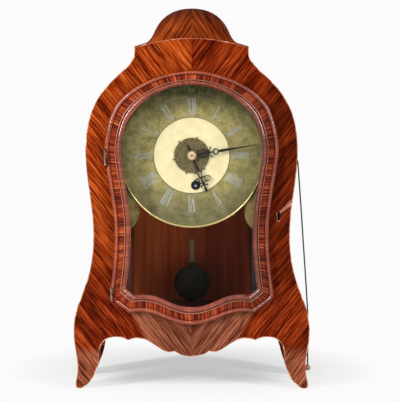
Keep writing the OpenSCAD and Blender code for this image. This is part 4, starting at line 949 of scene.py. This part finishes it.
def minute_track():
    """Two thin rings with a tick between them for each minute."""
    ticks = [[on_dial(k * MINUTE, u, v) for u, v in bar(0, TICK_FOOT, 0, MINUTE_RINGS[1], MINUTE_LINE)]
             for k in range(60)]
    return circle_line(MINUTE_RINGS[0], MINUTE_LINE) + circle_line(MINUTE_RINGS[1], MINUTE_LINE) + ticks


def figures(name, step, radius, size, front, material, body, slot):
    """Twelve small figures round the dial, step apart, their feet towards the middle."""
    bm = bmesh.new()
    for hour in range(1, 13):
        curve = bpy.data.curves.new("figure", "FONT")
        curve.body = str(hour * step)
        curve.size = size * MM
        curve.extrude = FIGURE_PAINT
        curve.align_x = "CENTER"
        curve.align_y = "CENTER"
        maker = bpy.data.objects.new("figure", curve)
        mesh = bpy.data.meshes.new_from_object(maker)
        for v in mesh.vertices:
            u, w = on_dial(hour * HOUR, v.co.x / MM, radius + v.co.y / MM)
            v.co = (u * MM, front - v.co.z, DIAL_Z + w * MM)
        bm.from_mesh(mesh)
        bpy.data.objects.remove(maker)
        bpy.data.curves.remove(curve)
        bpy.data.meshes.remove(mesh)
    return new_piece(name, mesh_from(bm, name), material, body, slot)


silver = metal("silver_paint", rgb(144, 151, 145), rgb(184, 189, 184), 0.5, 0.2, 500.0)
faded = metal("faded_paint", rgb(110, 110, 78), rgb(148, 146, 112), 0.6, 0.2, 500.0)
black = metal("black_steel", rgb(12, 12, 13), rgb(30, 29, 30), 0.38, 0.5, 400.0)

prisms("hour_numerals", numerals(), DIAL_FRONT, PAINT, silver, "case", "dial_brass")
prisms("minute_ring", minute_track(), DIAL_FRONT, PAINT, faded, "case", "dial_brass")
figures("minute_figures", 5, MINUTE_FIGURES_R, MINUTE_FIGURES_SIZE, DIAL_FRONT, faded, "case", "dial_brass")
prisms("ring_border", circle_line(BORDER_R, BORDER_LINE), RING_FRONT, BORDER_PAINT, black, "case",
       "dial_brass")
figures("alarm_figures", 1, ALARM_FIGURES_R, ALARM_FIGURES_SIZE, DISC_FRONT, black, "alarm_disc",
        "dial_brass")

# Looks of the case
assign(front_veneer(), "front_board")
assign(side_veneer(), "side_left", "side_right")
assign(dome_veneer(), "crest")
assign(lip_wood(), "door_frame")
assign(back_wood(), "back_board")
assign(plain_wood("floor_wood", rgb(48, 20, 12), rgb(84, 38, 22), (LONG_GRAIN, 120.0, 120.0), 0.45, 0.2),
       "floor_board")
# painted shade on the right cheek and painted light on the left, as dark and lit copies of one wood
assign(plain_wood("cheek_wood", rgb(20, 14, 14), rgb(38, 28, 28), UPRIGHT, 0.5, 0.2), "cheek_right")
assign(plain_wood("lit_cheek_wood", rgb(72, 26, 12), rgb(104, 40, 18), UPRIGHT, 0.6), "cheek_left")
assign(plain_wood("bead_wood", rgb(60, 22, 14), rgb(90, 36, 22), (CROSS_GRAIN,) * 3), "glass_beads")
assign(glass(), "glass_pane")
ease("side_left", "side_right")

# Looks of the dial and hands
assign(dial_paint(), "dial_plate")
assign(metal("mask_brass", rgb(116, 102, 57), rgb(164, 146, 88), 0.42, 0.5, 120.0, 0.2), "mask_plate")
assign(rim_gilt(), "dial_rim")
assign(metal("pin_gilt", rgb(214, 186, 108), rgb(246, 226, 160), 0.22), "hand_pin")
assign(cream_ring(), "dial_centre")
assign(collet_ivory(), "hand_collet")
assign(disc_metal(), "alarm_disc")
assign(black, "hour_hand", "minute_hand", "winding_bush")
assign(winding_steel(), "winding_arbor")

# Looks of the other metalwork, the cord and its knob
assign(metal("brass", rgb(176, 136, 66), rgb(214, 178, 104), 0.3),
       "cannon_pinion", "minute_wheel", "hour_wheel", "front_plate", "back_plate", "pillars", "plate_posts",
       "spring_barrel", "centre_wheel", "third_wheel", "escape_wheel", "back_cock", "dial_feet",
       "alarm_pulley", "cord_eyelet")
assign(metal("steel", rgb(112, 112, 110), rgb(164, 162, 158), 0.32),
       "ratchet_click", "mainspring", "anchor", "suspension_spring", "alarm_hammer", "bell_stand",
       "lock_bolt", "mask_screws")
assign(metal("dark_iron", rgb(36, 32, 28), rgb(66, 60, 52), 0.5, 0.8),
       "back_screws", "lock_case", "lock_screws")
assign(metal("hinge_brass", rgb(110, 92, 70), rgb(178, 158, 130), 0.3),
       "hinge_case_knuckles", "hinge_door_knuckles", "hinge_pins")
assign(liner_shade_and_highlight(), "escutcheon")
assign(rod_brass(), "pendulum_rod")
assign(metal("bob_patina", rgb(28, 24, 15), rgb(56, 49, 32), 0.45, 0.1, 90.0, 0.08),
       "pendulum_bob", "bob_collar")
assign(metal("bell_metal", rgb(120, 104, 70), rgb(166, 148, 106), 0.3), "bell")
assign(cord_fibre(), "inner_cord")
assign(plain_wood("knob_wood", rgb(150, 92, 74), rgb(196, 138, 116), (500.0, 500.0, 90.0), 0.4, 0.4),
       "pull_knob")


# Studio, in metres and watts
WHITE = (0.965, 0.965, 0.965, 1)
FLOOR_GREY = (0.92, 0.92, 0.92, 1)
SKY_LEVEL = 0.2  # the sky's strength as light; what is seen of it has a strength of 1
FLOOR_SIDE = 4
FLOOR_BACK = 8
SHADOW_Y = 0.09  # the floor fades to white round this place behind the clock's middle
FADE_OUT = (0.09, 0.27)

# Lamps: the right one's place, the height aimed at, width, height, and the left and right one's power
LAMPS = [("lamp", (1.75, -1.5, 0.78), 0.22, 0.24, 0.24, 11, 9),
         ("strip", (1.4, -1.25, 1.25), 0.3, 0.3, 1.15, 36, 23.5)]


def add_floor():
    """Pale floor that catches the shadow near the clock and fades to the white background."""
    mesh = bpy.data.meshes.new("studio_floor")
    corners = [(-FLOOR_SIDE, -FLOOR_SIDE, 0), (FLOOR_SIDE, -FLOOR_SIDE, 0),
               (FLOOR_SIDE, FLOOR_BACK, 0), (-FLOOR_SIDE, FLOOR_BACK, 0)]
    mesh.from_pydata(corners, [], [(0, 1, 2, 3)])
    floor = bpy.data.objects.new("studio_floor", mesh)
    scene.collection.objects.link(floor)
    s = Shader("studio_floor")
    far = s.length(s.x, s.math("SUBTRACT", s.y, SHADOW_Y))
    fade = s.times(s.span(far, *FADE_OUT, 0.5, 1.0), s.seen())
    matt = s.add("ShaderNodeBsdfDiffuse", inputs={"Color": FLOOR_GREY}).outputs[0]
    white = s.add("ShaderNodeEmission", inputs={"Color": WHITE, "Strength": 1.0}).outputs[0]
    s.output(s.add("ShaderNodeMixShader", inputs={0: fade, 1: matt, 2: white}).outputs[0])
    mesh.materials.append(s.material)


def add_light(name, place, target, width, height, power):
    data = bpy.data.lights.new(name, "AREA")
    data.shape = "ELLIPSE"
    data.size = width
    data.size_y = height
    data.energy = power
    light = bpy.data.objects.new(name, data)
    scene.collection.objects.link(light)
    face_towards(light, place, target)


def add_world():
    """Soft even light, seen as white by the camera, in reflections and through glass."""
    world = bpy.data.worlds.new("studio")
    scene.world = world
    world.use_nodes = True
    n = Nodes(world.node_tree)
    level = n.span(n.seen(), 0.0, 1.0, SKY_LEVEL, 1.0)
    sky = n.add("ShaderNodeBackground", inputs={"Color": WHITE, "Strength": level}).outputs[0]
    n.add("ShaderNodeOutputWorld", inputs={"Surface": sky})


add_floor()
add_world()
for kind, (out, forward, up), aim_z, width, height, left_power, right_power in LAMPS:
    for side, prefix, power in ((-1, "left_", left_power), (1, "right_", right_power)):
        add_light(prefix + kind, (side * out, forward, up), (0, 0, aim_z), width, height, power)
scene.view_settings.view_transform = "Standard"
